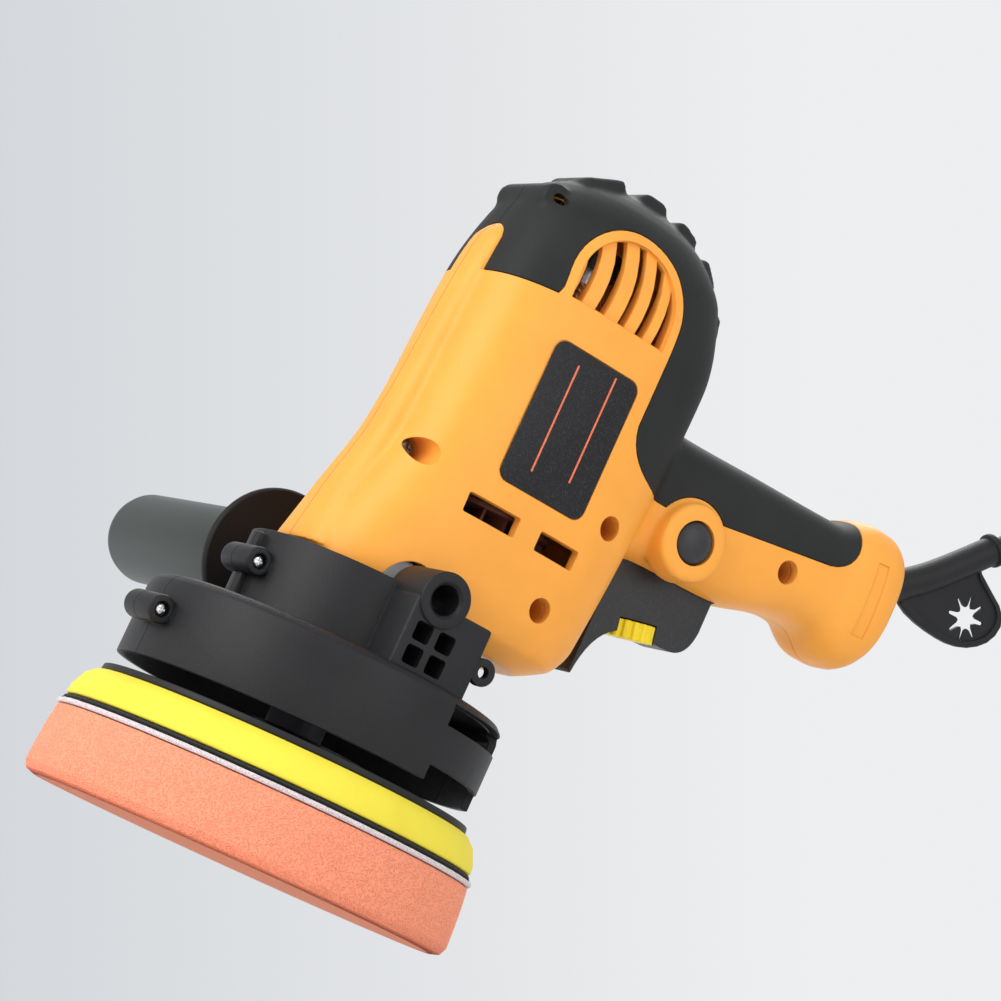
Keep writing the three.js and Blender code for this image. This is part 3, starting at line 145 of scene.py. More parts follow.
class Finish:
    """A material with a Principled shader, whose sockets are set or fed by name."""

    def __init__(self, name, colour, roughness, metallic=0.0, **fixed):
        self.material = bpy.data.materials.new(name)
        self.material.use_nodes = True
        self.nodes = self.material.node_tree.nodes
        self.links = self.material.node_tree.links
        self.shader = self.nodes["Principled BSDF"]
        self.shader.inputs["Base Color"].default_value = (*colour, 1)
        self.shader.inputs["Roughness"].default_value = roughness
        self.shader.inputs["Metallic"].default_value = metallic
        for socket, value in fixed.items():
            self.shader.inputs[socket.replace("_", " ")].default_value = value
        self.material.diffuse_color = (*colour, 1)

    def node(self, kind, settings=None, inputs=None, output=0):
        made = self.nodes.new(kind)
        for setting, value in (settings or {}).items():
            setattr(made, setting, value)
        for socket, value in (inputs or {}).items():
            if isinstance(value, Shade):
                self.links.new(value.socket, made.inputs[socket])
            else:
                made.inputs[socket].default_value = value
        return Shade(self, made.outputs[output])

    def place(self, stretch=(1, 1, 1)):
        """Where a point lies in the object's own frame, in metres, stretched along each axis."""
        spot = self.node("ShaderNodeTexCoord", output="Object")
        return self.node("ShaderNodeMapping", {}, {"Vector": spot, "Scale": stretch})

    def noise(self, size, detail=2, stretch=(1, 1, 1), roughness=0.5):
        """Cloudy noise from 0 to 1 whose lumps are about size metres across."""
        return self.node("ShaderNodeTexNoise", {}, {
            "Vector": self.place(stretch), "Scale": 1 / size, "Detail": detail, "Roughness": roughness})

    def cells(self, size):
        """Distance to the nearest of many scattered points, about size metres apart."""
        return self.node("ShaderNodeTexVoronoi", {}, {"Vector": self.place(), "Scale": 1 / size,
                                                      "Randomness": 1.0})

    def mix(self, share, first, second):
        """first where share is 0, second where it is 1; first may be a colour that varies."""
        colours = {6: first if isinstance(first, Shade) else (*first, 1), 7: (*second, 1)}
        return self.node("ShaderNodeMix", {"data_type": "RGBA"}, {0: share, **colours}, output=2)

    def feed(self, socket, value):
        self.links.new(value.socket, self.shader.inputs[socket])

    def relief(self, height, depth, edge=0.0):
        """Raises the surface by height times depth; edge is how far sharp edges are rounded."""
        inputs = {"Height": height, "Distance": depth}
        if edge:
            inputs["Normal"] = self.node("ShaderNodeBevel", {"samples": 4}, {"Radius": edge})
        self.feed("Normal", self.node("ShaderNodeBump", {}, inputs))


def moulded(name, colour, roughness, grain, depth, edge=0.35 * MM, cast=0.05):
    """Moulded plastic or rubber: a spark-eroded grain, faint clouding and rounded edges."""
    finish = Finish(name, colour, roughness, Specular_IOR_Level=0.28)
    fine = finish.noise(grain, detail=3, roughness=0.6)
    cloud = finish.noise(18 * MM, detail=2)
    darker = [part * (1 - cast) for part in colour]
    lighter = [min(1, part * (1 + cast)) for part in colour]
    finish.feed("Base Color", finish.mix(cloud.ramp(0.3, 0.7), darker, lighter))
    finish.feed("Roughness", fine * 0.16 + (roughness - 0.08))
    finish.relief(fine, depth, edge)
    return finish


lead_points = in_metres(LEAD_ROUTE) + coil_points() + in_metres(LEAD_TO_PLUG)
lead_curve = bpy.data.curves.new("lead", "CURVE")
lead_curve.dimensions = "3D"
lead_curve.bevel_depth = LEAD_DIAMETER / 2
lead_curve.bevel_resolution = 5
lead_curve.resolution_u = 6
lead_curve.use_fill_caps = True
spline = lead_curve.splines.new("BEZIER")
spline.bezier_points.add(len(lead_points) - 1)
for bend, point in zip(spline.bezier_points, lead_points):
    bend.co = point
    bend.handle_left_type = "AUTO"
    bend.handle_right_type = "AUTO"
lead = bpy.data.objects.new("lead", lead_curve)
scene.collection.objects.link(lead)
lead_rubber = moulded("lead_rubber", (0.010, 0.010, 0.011), 0.45, 0.5 * MM, 0.03 * MM, edge=0)
lead.data.materials.append(lead_rubber.material)
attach(lead, "housing")
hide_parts("cord", "cord_coil")


# ---------------------------------------------------------------- foam pad
# Open-cell polyurethane foam, cut to a disc with a slightly tapered, soft-edged flank.
# Its pores are about half a millimetre wide.

def only(piece):
    """Makes piece the one object that the operators act on."""
    bpy.ops.object.select_all(action="DESELECT")
    piece.select_set(True)
    bpy.context.view_layer.objects.active = piece


def new_piece(name, points, edges=(), faces=()):
    mesh = bpy.data.meshes.new(name)
    mesh.from_pydata([tuple(point) for point in points], list(edges), list(faces))
    piece = bpy.data.objects.new(name, mesh)
    scene.collection.objects.link(piece)
    only(piece)
    return piece


def modify(piece, kind, **settings):
    only(piece)
    modifier = piece.modifiers.new(kind.lower(), kind)
    for setting, value in settings.items():
        setattr(modifier, setting, value)
    bpy.ops.object.modifier_apply(modifier=modifier.name)
    return piece


def facing_out(piece, rise=None, merge=False):
    """Gives a flat new piece its thickness, or merges its doubles, and turns every face outwards."""
    only(piece)
    bpy.ops.object.mode_set(mode="EDIT")
    bpy.ops.mesh.select_all(action="SELECT")
    if rise:
        bpy.ops.mesh.extrude_region_move(TRANSFORM_OT_translate={"value": rise})
        bpy.ops.mesh.select_all(action="SELECT")
    if merge:
        bpy.ops.mesh.remove_doubles(threshold=1e-6)
    bpy.ops.mesh.normals_make_consistent(inside=False)
    bpy.ops.object.mode_set(mode="OBJECT")
    return piece


def finished(piece, finish, body, *nodes, slot=None, crease=35):
    """Smooths a piece, brings it to the origin, and lets it stand for its CAD nodes."""
    only(piece)
    bpy.ops.object.transform_apply(location=True, rotation=True, scale=True)
    bpy.ops.object.shade_smooth_by_angle(angle=math.radians(crease))
    piece.data.materials.clear()
    piece.data.materials.append(finish.material)
    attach(piece, body)
    if nodes:
        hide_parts(*nodes)
    return piece


def turned(name, profile, axis="Z", place=(0, 0, 0), steps=96, soft=0.0, segments=3):
    """Spins a profile of (radius, height) pairs, in metres, round an axis through place."""
    closed = profile[0][0] > 1e-7
    count = len(profile)
    edges = [(i, i + 1) for i in range(count - 1)] + ([(count - 1, 0)] if closed else [])
    piece = new_piece(name, [(radius, 0, height) for radius, height in profile], edges)
    modify(piece, "SCREW", angle=2 * math.pi, steps=steps, render_steps=steps, axis="Z",
           use_merge_vertices=True, merge_threshold=1e-6)
    facing_out(piece, merge=True)
    if soft:
        modify(piece, "BEVEL", width=soft, segments=segments, limit_method="ANGLE",
               angle_limit=math.radians(25))
    if axis == "Y":
        piece.rotation_euler = (-math.pi / 2, 0, 0)
    if axis == "X":
        piece.rotation_euler = (0, math.pi / 2, 0)
    piece.location = place
    only(piece)
    bpy.ops.object.transform_apply(location=True, rotation=True, scale=True)
    return piece


pad_low, pad_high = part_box("foam_pad")
pad_radius = (pad_high.x - pad_low.x) / 2
pad_flank = [(0, 0), (pad_radius - 4.0 * MM, 0), (pad_radius - 1.2 * MM, 0.9 * MM), (pad_radius, 3.6 * MM),
             (pad_radius - 0.3 * MM, 10 * MM), (pad_radius - 0.9 * MM, 18 * MM),
             (pad_radius - 1.6 * MM, pad_high.z - 0.4 * MM), (pad_radius - 2.2 * MM, pad_high.z),
             (0, pad_high.z)]
pad = turned("pad_foam", pad_flank, steps=160, soft=0.9 * MM)


def foam_finish(name, colour, pore_shade_colour, pore, depth):
    """Open-cell foam: a soft matt skin with round open cells, darkened inside with painted shade, and a
    little light let through.
    """
    finish = Finish(name, colour, 0.95, Subsurface_Weight=0.12, Subsurface_Scale=1.5 * MM)
    pore_pits_and_shade = finish.cells(pore).ramp(0.12, 0.62)
    fine = finish.noise(0.25 * MM, detail=3)
    cloud = finish.noise(9 * MM, detail=3).ramp(0.35, 0.65)
    body = finish.mix(cloud * 0.25, colour, [part * 0.9 for part in colour])
    # Painted shade: the open cells take a darker colour, as if shade fell into them; the same mask also
    # bumps them.
    finish.feed("Base Color", finish.mix((1 - pore_pits_and_shade) * 0.42, body, pore_shade_colour))
    finish.relief(pore_pits_and_shade + fine * 0.5, depth)
    return finish


# The second colour is the painted shade inside the foam's open cells.
pad_foam = foam_finish("pad_foam", (0.96, 0.33, 0.19), (0.70, 0.17, 0.08), 0.62 * MM, 0.22 * MM)
finished(pad, pad_foam, "spindle_group", "foam_pad", slot="pad_foam")


# ---------------------------------------------------------------- loop layer
# A white brushed-nylon loop fabric, glued on the foam's back. Its cut edge is fuzzy and
# stands a little unevenly past the foam.

def ragged(piece, amount, pitch):
    """Pushes the outer edge of a disc in and out, as a cut fabric's edge is."""
    edge = max(math.hypot(v.co.x, v.co.y) for v in piece.data.vertices)
    for vertex in piece.data.vertices:
        reach = math.hypot(vertex.co.x, vertex.co.y)
        if reach < edge - 2.5 * MM:
            continue
        angle = math.atan2(vertex.co.y, vertex.co.x)
        wave = math.sin(angle * pitch) + 0.7 * math.sin(angle * pitch * 2.3 + 1 + vertex.co.z * 900)
        wave += 0.5 * math.sin(angle * 17 + 0.6)
        push = 1 + amount * wave / edge
        vertex.co.x *= push
        vertex.co.y *= push


def layer(name, node, overhang):
    """A thin round layer with a soft rim, a little wider than its solid."""
    low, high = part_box(node)
    radius = (high.x - low.x) / 2 + overhang
    middle = (low.z + high.z) / 2
    profile = [(0, low.z), (radius - 0.5 * MM, low.z), (radius, middle), (radius - 0.5 * MM, high.z),
               (0, high.z)]
    return turned(name, profile, steps=360, soft=0.3 * MM, segments=2)


loop_layer = layer("loop_fabric", "pad_loop_layer", 0.4 * MM)
ragged(loop_layer, 0.22 * MM, 61)
loop_fabric = Finish("loop_fabric", (0.80, 0.72, 0.73), 1.0, Sheen_Weight=0.5)
fibres = loop_fabric.noise(0.35 * MM, detail=4, roughness=0.7)
tangle = loop_fabric.mix(fibres.ramp(0.35, 0.6), (0.55, 0.42, 0.43), (0.92, 0.84, 0.86))
loop_fabric.feed("Base Color", tangle)
loop_fabric.relief(fibres, 0.5 * MM)
finished(loop_layer, loop_fabric, "spindle_group", "pad_loop_layer", slot="loop_fabric")


# ---------------------------------------------------------------- hook layer
# Black hook tape on the backing plate's face; a row of stubby hooks shows along its edge.

hook_layer = layer("hook_tape", "plate_hook_layer", 0.2 * MM)
hook_low, hook_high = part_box("plate_hook_layer")
hook_radius = (hook_high.x - hook_low.x) / 2


def hook_row(count, rise):
    """Short leaning pegs round the edge of the tape, each a few faces."""
    points = []
    faces = []
    for i in range(count):
        angle = 2 * math.pi * i / count
        lean = 0.35 * math.sin(i * 2.4)
        out = hook_radius + (0.35 + 0.3 * math.sin(i * 1.7)) * MM
        base = len(points)
        for turn, level in ((-0.0022, 0.2), (0.0022, 0.2), (0.0008 + lean * 0.004,
                                                            rise + 0.25 * math.sin(i * 3.1))):
            for depth in (-1.2 * MM, 0):
                where = angle + turn
                points.append(((out + depth) * math.cos(where), (out + depth) * math.sin(where),
                               hook_low.z + level * MM))
        faces += [tuple(base + k for k in face) for face in
                  ((0, 1, 3, 2), (2, 3, 5, 4), (4, 5, 1, 0), (1, 5, 3), (0, 2, 4))]
    return new_piece("hook_edge", points, faces=faces)


hook_edge = hook_row(420, -1.1)
hook_tape = Finish("hook_tape", (0.012, 0.012, 0.012), 0.75)
hook_grain = hook_tape.noise(0.3 * MM, detail=2)
hook_tape.feed("Roughness", hook_grain * 0.3 + 0.6)
hook_tape.relief(hook_grain, 0.2 * MM)
ragged(hook_layer, 0.12 * MM, 90)
finished(hook_layer, hook_tape, "spindle_group", "plate_hook_layer", slot="hook_tape")
finished(hook_edge, hook_tape, "spindle_group", slot="hook_tape")


# ---------------------------------------------------------------- backing plate
# A yellow polyurethane foam ring moulded on a thin dark nylon disc, whose hub is threaded
# for the spindle.

plate_low, plate_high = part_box("plate_foam")
plate_radius = (plate_high.x - plate_low.x) / 2
disc_low, disc_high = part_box("plate_disc")
disc_radius = (disc_high.x - disc_low.x) / 2
hub = 15.3 * MM
plate_top = plate_high.z
plate_ring = turned("plate_foam_ring", [
    (hub, plate_low.z), (plate_radius - 0.5 * MM, plate_low.z), (plate_radius, plate_low.z + 0.8 * MM),
    (plate_radius - 0.4 * MM, plate_low.z + 3.4 * MM), (plate_radius - 2.6 * MM, plate_top - 3.0 * MM),
    (plate_radius - 5.4 * MM, plate_top - 0.4 * MM), (plate_radius - 6.4 * MM, plate_top), (hub, plate_top),
], steps=160, soft=0.5 * MM)
yellow_foam = Finish("yellow_foam", (0.80, 0.66, 0.04), 0.72, Subsurface_Weight=0.06, Subsurface_Scale=MM)
skin_marks = yellow_foam.noise(1.2 * MM, detail=4)
stain = yellow_foam.noise(22 * MM, detail=3).ramp(0.45, 0.75)
yellow_foam.feed("Base Color", yellow_foam.mix(stain * 0.35, (0.82, 0.69, 0.045), (0.74, 0.55, 0.03)))
yellow_foam.feed("Roughness", skin_marks * 0.2 + 0.6)
yellow_foam.relief(skin_marks + yellow_foam.noise(0.3 * MM, detail=2) * 0.6, 0.07 * MM)
finished(plate_ring, yellow_foam, "spindle_group", "plate_foam", slot="plate_foam")

plate_cap = turned("plate_nylon_disc", [
    (5.3 * MM, disc_low.z), (hub - 0.3 * MM, disc_low.z), (hub - 0.3 * MM, plate_top + 0.3 * MM),
    (disc_radius, plate_top + 0.3 * MM), (disc_radius - 0.3 * MM, plate_top + 2.5 * MM),
    (disc_radius - 8 * MM, plate_top + 2.5 * MM), (hub + 10 * MM, disc_high.z - 0.4 * MM),
    (hub, disc_high.z),
    (5.3 * MM, disc_high.z),
], steps=128, soft=0.35 * MM)
nylon = moulded("plate_nylon", (0.012, 0.012, 0.013), 0.5, 0.4 * MM, 0.02 * MM)
finished(plate_cap, nylon, "spindle_group", "plate_disc", slot="plate_plastic")


# ---------------------------------------------------------------- spindle and gearing
# Ground steel: the spindle and its ball bearings, and the two cut and greased gears.

def dress(finish, *nodes):
    """Gives CAD nodes that are shown as they are a finish of their own."""
    for node in nodes:
        piece = bpy.data.objects[node]
        piece.data.materials.clear()
        piece.data.materials.append(finish.material)


def metal(name, colour, roughness, brushed, along="Z"):
    """Machined metal with fine tool marks across the axis that it was turned on."""
    finish = Finish(name, colour, roughness, metallic=1.0)
    stretch = (1, 14, 1) if along == "Y" else (1, 1, 14)
    marks = finish.noise(brushed, detail=3, stretch=stretch)
    finish.feed("Roughness", marks * 0.22 + (roughness - 0.1))
    finish.relief(marks, 0.01 * MM, edge=0.15 * MM)
    return finish


bright_steel = metal("bright_steel", (0.62, 0.63, 0.65), 0.3, 1.5 * MM)
cut_steel = metal("cut_steel", (0.30, 0.31, 0.32), 0.42, 1.2 * MM)
# Near-black steel: painted shade for the parts that lie in shadow deep inside the head and the motor.
shade_darkened_steel = metal("shade_darkened_steel", (0.06, 0.06, 0.065), 0.5, 1.2 * MM)
dress(shade_darkened_steel, "spindle", "motor_bearing_upper", "brush_spring_front", "brush_spring_rear")
dress(bright_steel, "spindle_bearing_lower", "spindle_bearing_upper", "motor_bearing_lower",
      "armature_shaft", "side_handle_stud")
dress(cut_steel, "drive_gear")


# ---------------------------------------------------------------- motor
# Stacked laminations with enamelled copper windings, a segmented commutator, carbon
# brushes in brass boxes, and a brown moulded fan that shows through the lower slots.

laminations = Finish("laminations", (0.20, 0.20, 0.21), 0.5, metallic=0.8)
sheets = laminations.node("ShaderNodeTexWave", {"bands_direction": "Z"}, {
    "Vector": laminations.place(), "Scale": 320.0, "Distortion": 0.2})
laminations.feed("Roughness", sheets * 0.3 + 0.35)
laminations.relief(sheets, 0.1 * MM)
wire = Finish("enamelled_wire", (0.52, 0.20, 0.07), 0.35, metallic=0.7)
strands_and_painted_shade = wire.node("ShaderNodeTexWave", {"bands_direction": "DIAGONAL"}, {
    "Vector": wire.place(), "Scale": 260.0, "Distortion": 1.5})
# Painted shade between the strands and painted highlight along them: the colour follows the same bands that
# bump the wire.
wire.feed("Base Color", wire.mix(strands_and_painted_shade, (0.30, 0.10, 0.035), (0.62, 0.26, 0.10)))
wire.relief(strands_and_painted_shade, 0.3 * MM)
brass = metal("brass", (0.72, 0.52, 0.22), 0.32, MM)
carbon = moulded("carbon", (0.02, 0.02, 0.021), 0.6, 0.3 * MM, 0.02 * MM)
cast_plate = moulded("cast_aluminium", (0.42, 0.43, 0.44), 0.5, 0.5 * MM, 0.05 * MM)
cast_plate.shader.inputs["Metallic"].default_value = 0.9
fan_plastic = moulded("fan_plastic", (0.15, 0.052, 0.032), 0.42, 0.4 * MM, 0.02 * MM)
dress(laminations, "armature_core", "stator_core")
dress(wire, "winding_lower", "winding_upper", "field_coil_front", "field_coil_rear", "commutator")
dress(brass, "brush_holder_front", "brush_holder_rear")
dress(carbon, "carbon_brush_front", "carbon_brush_rear")
dress(cast_plate, "bearing_plate")
fan_low, fan_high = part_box("cooling_fan")
fan_centre = (fan_low + fan_high) / 2
fan_radius = (fan_high.x - fan_low.x) / 2
vane_middle = fan_radius * 0.72
VANE_SWEEP = 0.35                   # how far a vane is swept back, in radians


def fan_vane(angle):
    """One upright vane, swept back a little from the hub to the rim."""
    bpy.ops.object.select_all(action="DESELECT")
    bpy.ops.mesh.primitive_cube_add(size=1, location=(vane_middle, 0, fan_centre.z - MM))
    vane = bpy.context.active_object
    vane.scale = (fan_radius * 0.5, 1.3 * MM, fan_high.z - fan_low.z - 2 * MM)
    bpy.ops.object.transform_apply(location=True, rotation=True, scale=True)
    modify(vane, "BEVEL", width=0.4 * MM, segments=2)
    sweep = Matrix.Rotation(VANE_SWEEP, 4, "Z") @ Matrix.Translation((-vane_middle, 0, 0))
    vane.data.transform(Matrix.Rotation(angle, 4, "Z") @ Matrix.Translation((vane_middle, 0, 0)) @ sweep)
    vane.data.transform(Matrix.Translation((fan_centre.x, fan_centre.y, 0)))
    return vane


def joined(name, pieces):
    bpy.ops.object.select_all(action="DESELECT")
    for piece in pieces:
        piece.select_set(True)
    bpy.context.view_layer.objects.active = pieces[0]
    bpy.ops.object.join()
    pieces[0].name = name
    pieces[0].data.name = name
    return pieces[0]


VANES = 18
fan_disc = turned("fan_disc", [
    (5.4 * MM, fan_low.z), (10 * MM, fan_low.z), (10.5 * MM, fan_high.z - 3 * MM),
    (fan_radius, fan_high.z - 2 * MM),
    (fan_radius, fan_high.z), (5.4 * MM, fan_high.z)], place=(fan_centre.x, fan_centre.y, 0), soft=0.4 * MM)
fan = joined("fan", [fan_disc] + [fan_vane(2 * math.pi * i / VANES) for i in range(VANES)])
finished(fan, fan_plastic, "armature_group", "cooling_fan", slot="fan_plastic")


# ---------------------------------------------------------------- head housing
# Two moulded nylon halves, parted along the tool's middle plane, with a rough spark grain.
# They clamp round the motor body's foot and carry the shroud, the two threaded side bosses
# with their square pockets, and the wire eyelets.

def rod_y(name, radius, x, z, y0, y1, sides=48, soft=0.5 * MM, end_radius=None):
    """A round bar along Y from y0 to y1, with soft rims."""
    tip = radius if end_radius is None else end_radius
    return turned(name, [(0, y0), (radius, y0), (tip, y1), (0, y1)], axis="Y", place=(x, 0, z),
                  steps=sides, soft=soft)


def box_piece(name, low, high, soft=0.0, segments=2):
    bpy.ops.object.select_all(action="DESELECT")
    bpy.ops.mesh.primitive_cube_add(size=1, location=[(a + b) / 2 for a, b in zip(low, high)])
    piece = bpy.context.active_object
    piece.name = name
    piece.scale = [b - a for a, b in zip(low, high)]
    bpy.ops.object.transform_apply(location=True, rotation=True, scale=True)
    if soft:
        modify(piece, "BEVEL", width=soft, segments=segments)
    return piece


def combine(piece, operation, *tools):
    """Joins tools to a piece, cuts them from it, or keeps what it shares with them."""
    for tool in tools:
        modify(piece, "BOOLEAN", operation=operation, solver="MANIFOLD", object=tool)
    for tool in set(tools):
        bpy.data.objects.remove(tool, do_unlink=True)
    return piece


def copy_of(piece, name):
    twin = piece.copy()
    twin.data = piece.data.copy()
    twin.name = name
    scene.collection.objects.link(twin)
    return twin


def half(whole, name, side):
    """The part of a whole moulding on one side of the parting plane, less a hair's gap."""
    gap = 0.15 * MM
    far = 0.4
    low, high = ((-far, -far, -far), (far, -gap, far)) if side < 0 else ((-far, gap, -far), (far, far, far))
    return combine(copy_of(whole, name), "INTERSECT", box_piece("cutter", low, high))


def in_halves(whole, prefix, finish, node, slot, crease):
    """Parts a whole moulding into its left and right halves, and finishes both."""
    for name, side in (("left", -1), ("right", 1)):
        finished(half(whole, prefix + name, side), finish, "housing", node + name, slot=slot, crease=crease)
    bpy.data.objects.remove(whole, do_unlink=True)


head_low, head_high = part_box("head_housing_left")
shroud_radius = -head_low.y
shroud_low = head_low.z
shroud_top = shroud_low + 29 * MM
collar_radius = 40 * MM
collar_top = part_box("bearing_plate")[0].z - 0.3 * MM
flange_low, flange_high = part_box("side_handle_flange")
bore_z = (flange_low.z + flange_high.z) / 2
boss_reach = flange_low.y - 0.3 * MM
shroud_wall = 2.6 * MM
seat = 16.3 * MM                    # radius of the lower bearing's seat
inner = shroud_radius - shroud_wall
head = turned("head", [
    (9 * MM, shroud_top - 6.6 * MM), (20 * MM, shroud_top - 6.6 * MM), (22 * MM, shroud_top - shroud_wall),
    (inner - 3 * MM, shroud_top - shroud_wall), (inner, shroud_top - 5 * MM), (inner, shroud_low),
    (shroud_radius, shroud_low), (shroud_radius, shroud_top - 5.5 * MM),
    (shroud_radius - 0.7 * MM, shroud_top - 2.6 * MM), (shroud_radius - 2.6 * MM, shroud_top - 0.7 * MM),
    (shroud_radius - 5.5 * MM, shroud_top),
    (collar_radius + 0.6 * MM, shroud_top), (collar_radius, shroud_top + 0.6 * MM),
    (collar_radius, collar_top),
    (collar_radius - 3 * MM, collar_top), (collar_radius - 3 * MM, shroud_top + 10 * MM),
    (seat, shroud_top + 10 * MM), (seat, shroud_top + 0.7 * MM), (12 * MM, shroud_top + 0.7 * MM),
    (12 * MM, shroud_top - 2 * MM), (9 * MM, shroud_top - 2 * MM),
], steps=128, soft=0.45 * MM)

boss_radius = 9.2 * MM
bore_radius = 5 * MM
bore_rim = 6.1 * MM
eyelet_x = 24.5 * MM
eyelet_z = shroud_top + 10.6 * MM
grown = []
for side in (-1, 1):
    ends = sorted((side * boss_reach, side * (collar_radius - 5 * MM)))
    grown.append(rod_y("boss", boss_radius, 0, bore_z, *ends, soft=0.8 * MM))
    near, far = sorted((side * (boss_reach - MM), side * (collar_radius - 5 * MM)))
    grown.append(box_piece("web", (-boss_radius, near, shroud_top - 2 * MM),
                           (21 * MM, far, collar_top - 2.5 * MM),
                           soft=1.2 * MM, segments=3))
    plate_y = side * (boss_reach - 4 * MM)
    grown.append(rod_y("eyelet", 4.6 * MM, eyelet_x, eyelet_z, plate_y - 1.6 * MM, plate_y + 1.6 * MM))
clamp_places = [(-shroud_radius - 3 * MM, shroud_low + 15 * MM),
                (-collar_radius - 2.6 * MM, collar_top - 12 * MM)]
for x, z in clamp_places:
    grown.append(rod_y("clamp_boss", 4.8 * MM, x, z, -11.2 * MM, 8.5 * MM, soft=0.9 * MM))
    grown.append(box_piece("clamp_web", (x, -7.5 * MM, z - 4.2 * MM), (x + 6.5 * MM, 7.5 * MM, z + 4.2 * MM),
                           soft=0.6 * MM))
grown.append(box_piece("rib", (-collar_radius - 2.6 * MM, -2.5 * MM, shroud_top - MM),
                       (-collar_radius + 2 * MM, 2.5 * MM, collar_top - 2 * MM), soft=0.5 * MM))
combine(head, "UNION", *grown)


def ring_sector(name, inner_radius, outer_radius, start, end, z0, z1, steps=24):
    """A block bent round the spindle's axis, between two angles in degrees."""
    points = []
    for i in range(steps + 1):
        angle = math.radians(start + (end - start) * i / steps)
        for radius in (inner_radius, outer_radius):
            for z in (z0, z1):
                points.append((radius * math.cos(angle), radius * math.sin(angle), z))
    faces = [(0, 1, 3, 2)]
    for i in range(steps):
        a, b = 4 * i, 4 * i + 4
        faces += [(a, b, b + 1, a + 1), (a + 1, b + 1, b + 3, a + 3), (a + 3, b + 3, b + 2, a + 2),
                  (a + 2, b + 2, b, a)]
    last = 4 * steps
    faces.append((last, last + 2, last + 3, last + 1))
    return facing_out(new_piece(name, points, faces=faces))


removed = []
for side in (-1, 1):
    face = side * (boss_reach + 2 * MM)
    back = side * (collar_radius - 6 * MM)
    removed.append(rod_y("bore", bore_radius, 0, bore_z, *sorted((face, back)), soft=0))
    rim = side * (boss_reach + 0.01 * MM)
    first, last = (bore_radius, bore_rim) if side > 0 else (bore_rim, bore_radius)
    removed.append(rod_y("countersink", first, 0, bore_z, *sorted((rim, rim - side * 1.1 * MM)),
                         soft=0, end_radius=last))
    removed.append(rod_y("eye", 2 * MM, eyelet_x, eyelet_z, *sorted((side * 48 * MM, side * 60 * MM)),
                         soft=0))
    floor = side * (boss_reach - 12 * MM)
    for x in (-5.8, 3.2):
        for z in (1.5, 9.5):
            low = (x * MM, min(face, floor), shroud_top + z * MM)
            high = ((x + 6.5) * MM, max(face, floor), shroud_top + (z + 6.3) * MM)
            removed.append(box_piece("pocket", low, high, soft=1.1 * MM, segments=3))
    start, end = (-75, -24) if side < 0 else (24, 75)
    removed.append(ring_sector("slot", inner - 2 * MM, shroud_radius + 3 * MM, start, end,
                               shroud_top - 10.2 * MM, shroud_top - 3.0 * MM))
removed.append(ring_sector("notch", inner - 2 * MM, shroud_radius + 3 * MM, -75, -24,
                           shroud_low - 2 * MM, shroud_low + 5.5 * MM))
for x, z in clamp_places:
    removed.append(rod_y("clamp_hole", 1.9 * MM, x, z, -20 * MM, 20 * MM, soft=0, sides=24))
    removed.append(rod_y("clamp_rim", 2.7 * MM, x, z, -12 * MM, -8.4 * MM, soft=0, sides=32))
combine(head, "DIFFERENCE", *removed)

black_nylon = moulded("black_nylon", (0.010, 0.010, 0.011), 0.47, 0.55 * MM, 0.1 * MM, edge=0.45 * MM,
                      cast=0.12)
in_halves(head, "head_half_", black_nylon, "head_housing_", "black_plastic", 35)


# ---------------------------------------------------------------- clamp screws
# Bright zinc-plated cross-head screws with nuts, which close the two halves of the head.

def cross_screw(name, x, z, face, head_radius, head_height, shank_radius, end, nut=None):
    """A round-headed screw along Y whose head looks towards -Y, with a cross recess."""
    dome = [(0, -head_height), (head_radius * 0.55, -head_height * 0.93),
            (head_radius * 0.88, -head_height * 0.6),
            (head_radius, -head_height * 0.15), (head_radius, 0), (shank_radius, 0),
            (shank_radius, end - face), (0, end - face)]
    screw = turned(name, dome, axis="Y", place=(x, face, z), steps=40, soft=0.12 * MM, segments=2)
    arm = head_radius * 0.62
    width = head_radius * 0.15
    tip = face - head_height * 1.1
    root = face - head_height * 0.25
    tools = [box_piece("arm", (x - arm, tip, z - width), (x + arm, root, z + width)),
             box_piece("arm", (x - width, tip, z - arm), (x + width, root, z + arm))]
    combine(screw, "DIFFERENCE", *tools)
    if nut:
        hexagon = turned("nut", [(shank_radius * 1.02, nut[0]), (nut[2], nut[0]), (nut[2], nut[1]),
                                 (shank_radius * 1.02, nut[1])], axis="Y", place=(x, 0, z), steps=6,
                                 soft=0.2 * MM)
        joined(name, [screw, hexagon])
    return screw


zinc = metal("zinc_plate", (0.78, 0.79, 0.80), 0.22, 0.8 * MM, along="Y")
for (x, z), node in zip(clamp_places, ("clamp_screw_shroud", "clamp_screw_collar")):
    screw = cross_screw(node + "_zinc", x, z, -8.5 * MM, 2.3 * MM, 1.7 * MM, 1.5 * MM, 11.3 * MM,
                        nut=(8.8 * MM, 11.2 * MM, 3.3 * MM))
    finished(screw, zinc, "housing", node, slot="steel")


# ---------------------------------------------------------------- side handle
# A smooth matt barrel of glass-filled nylon with a near-black hand guard. A steel stud
# screws into the boss on the far side of the head.

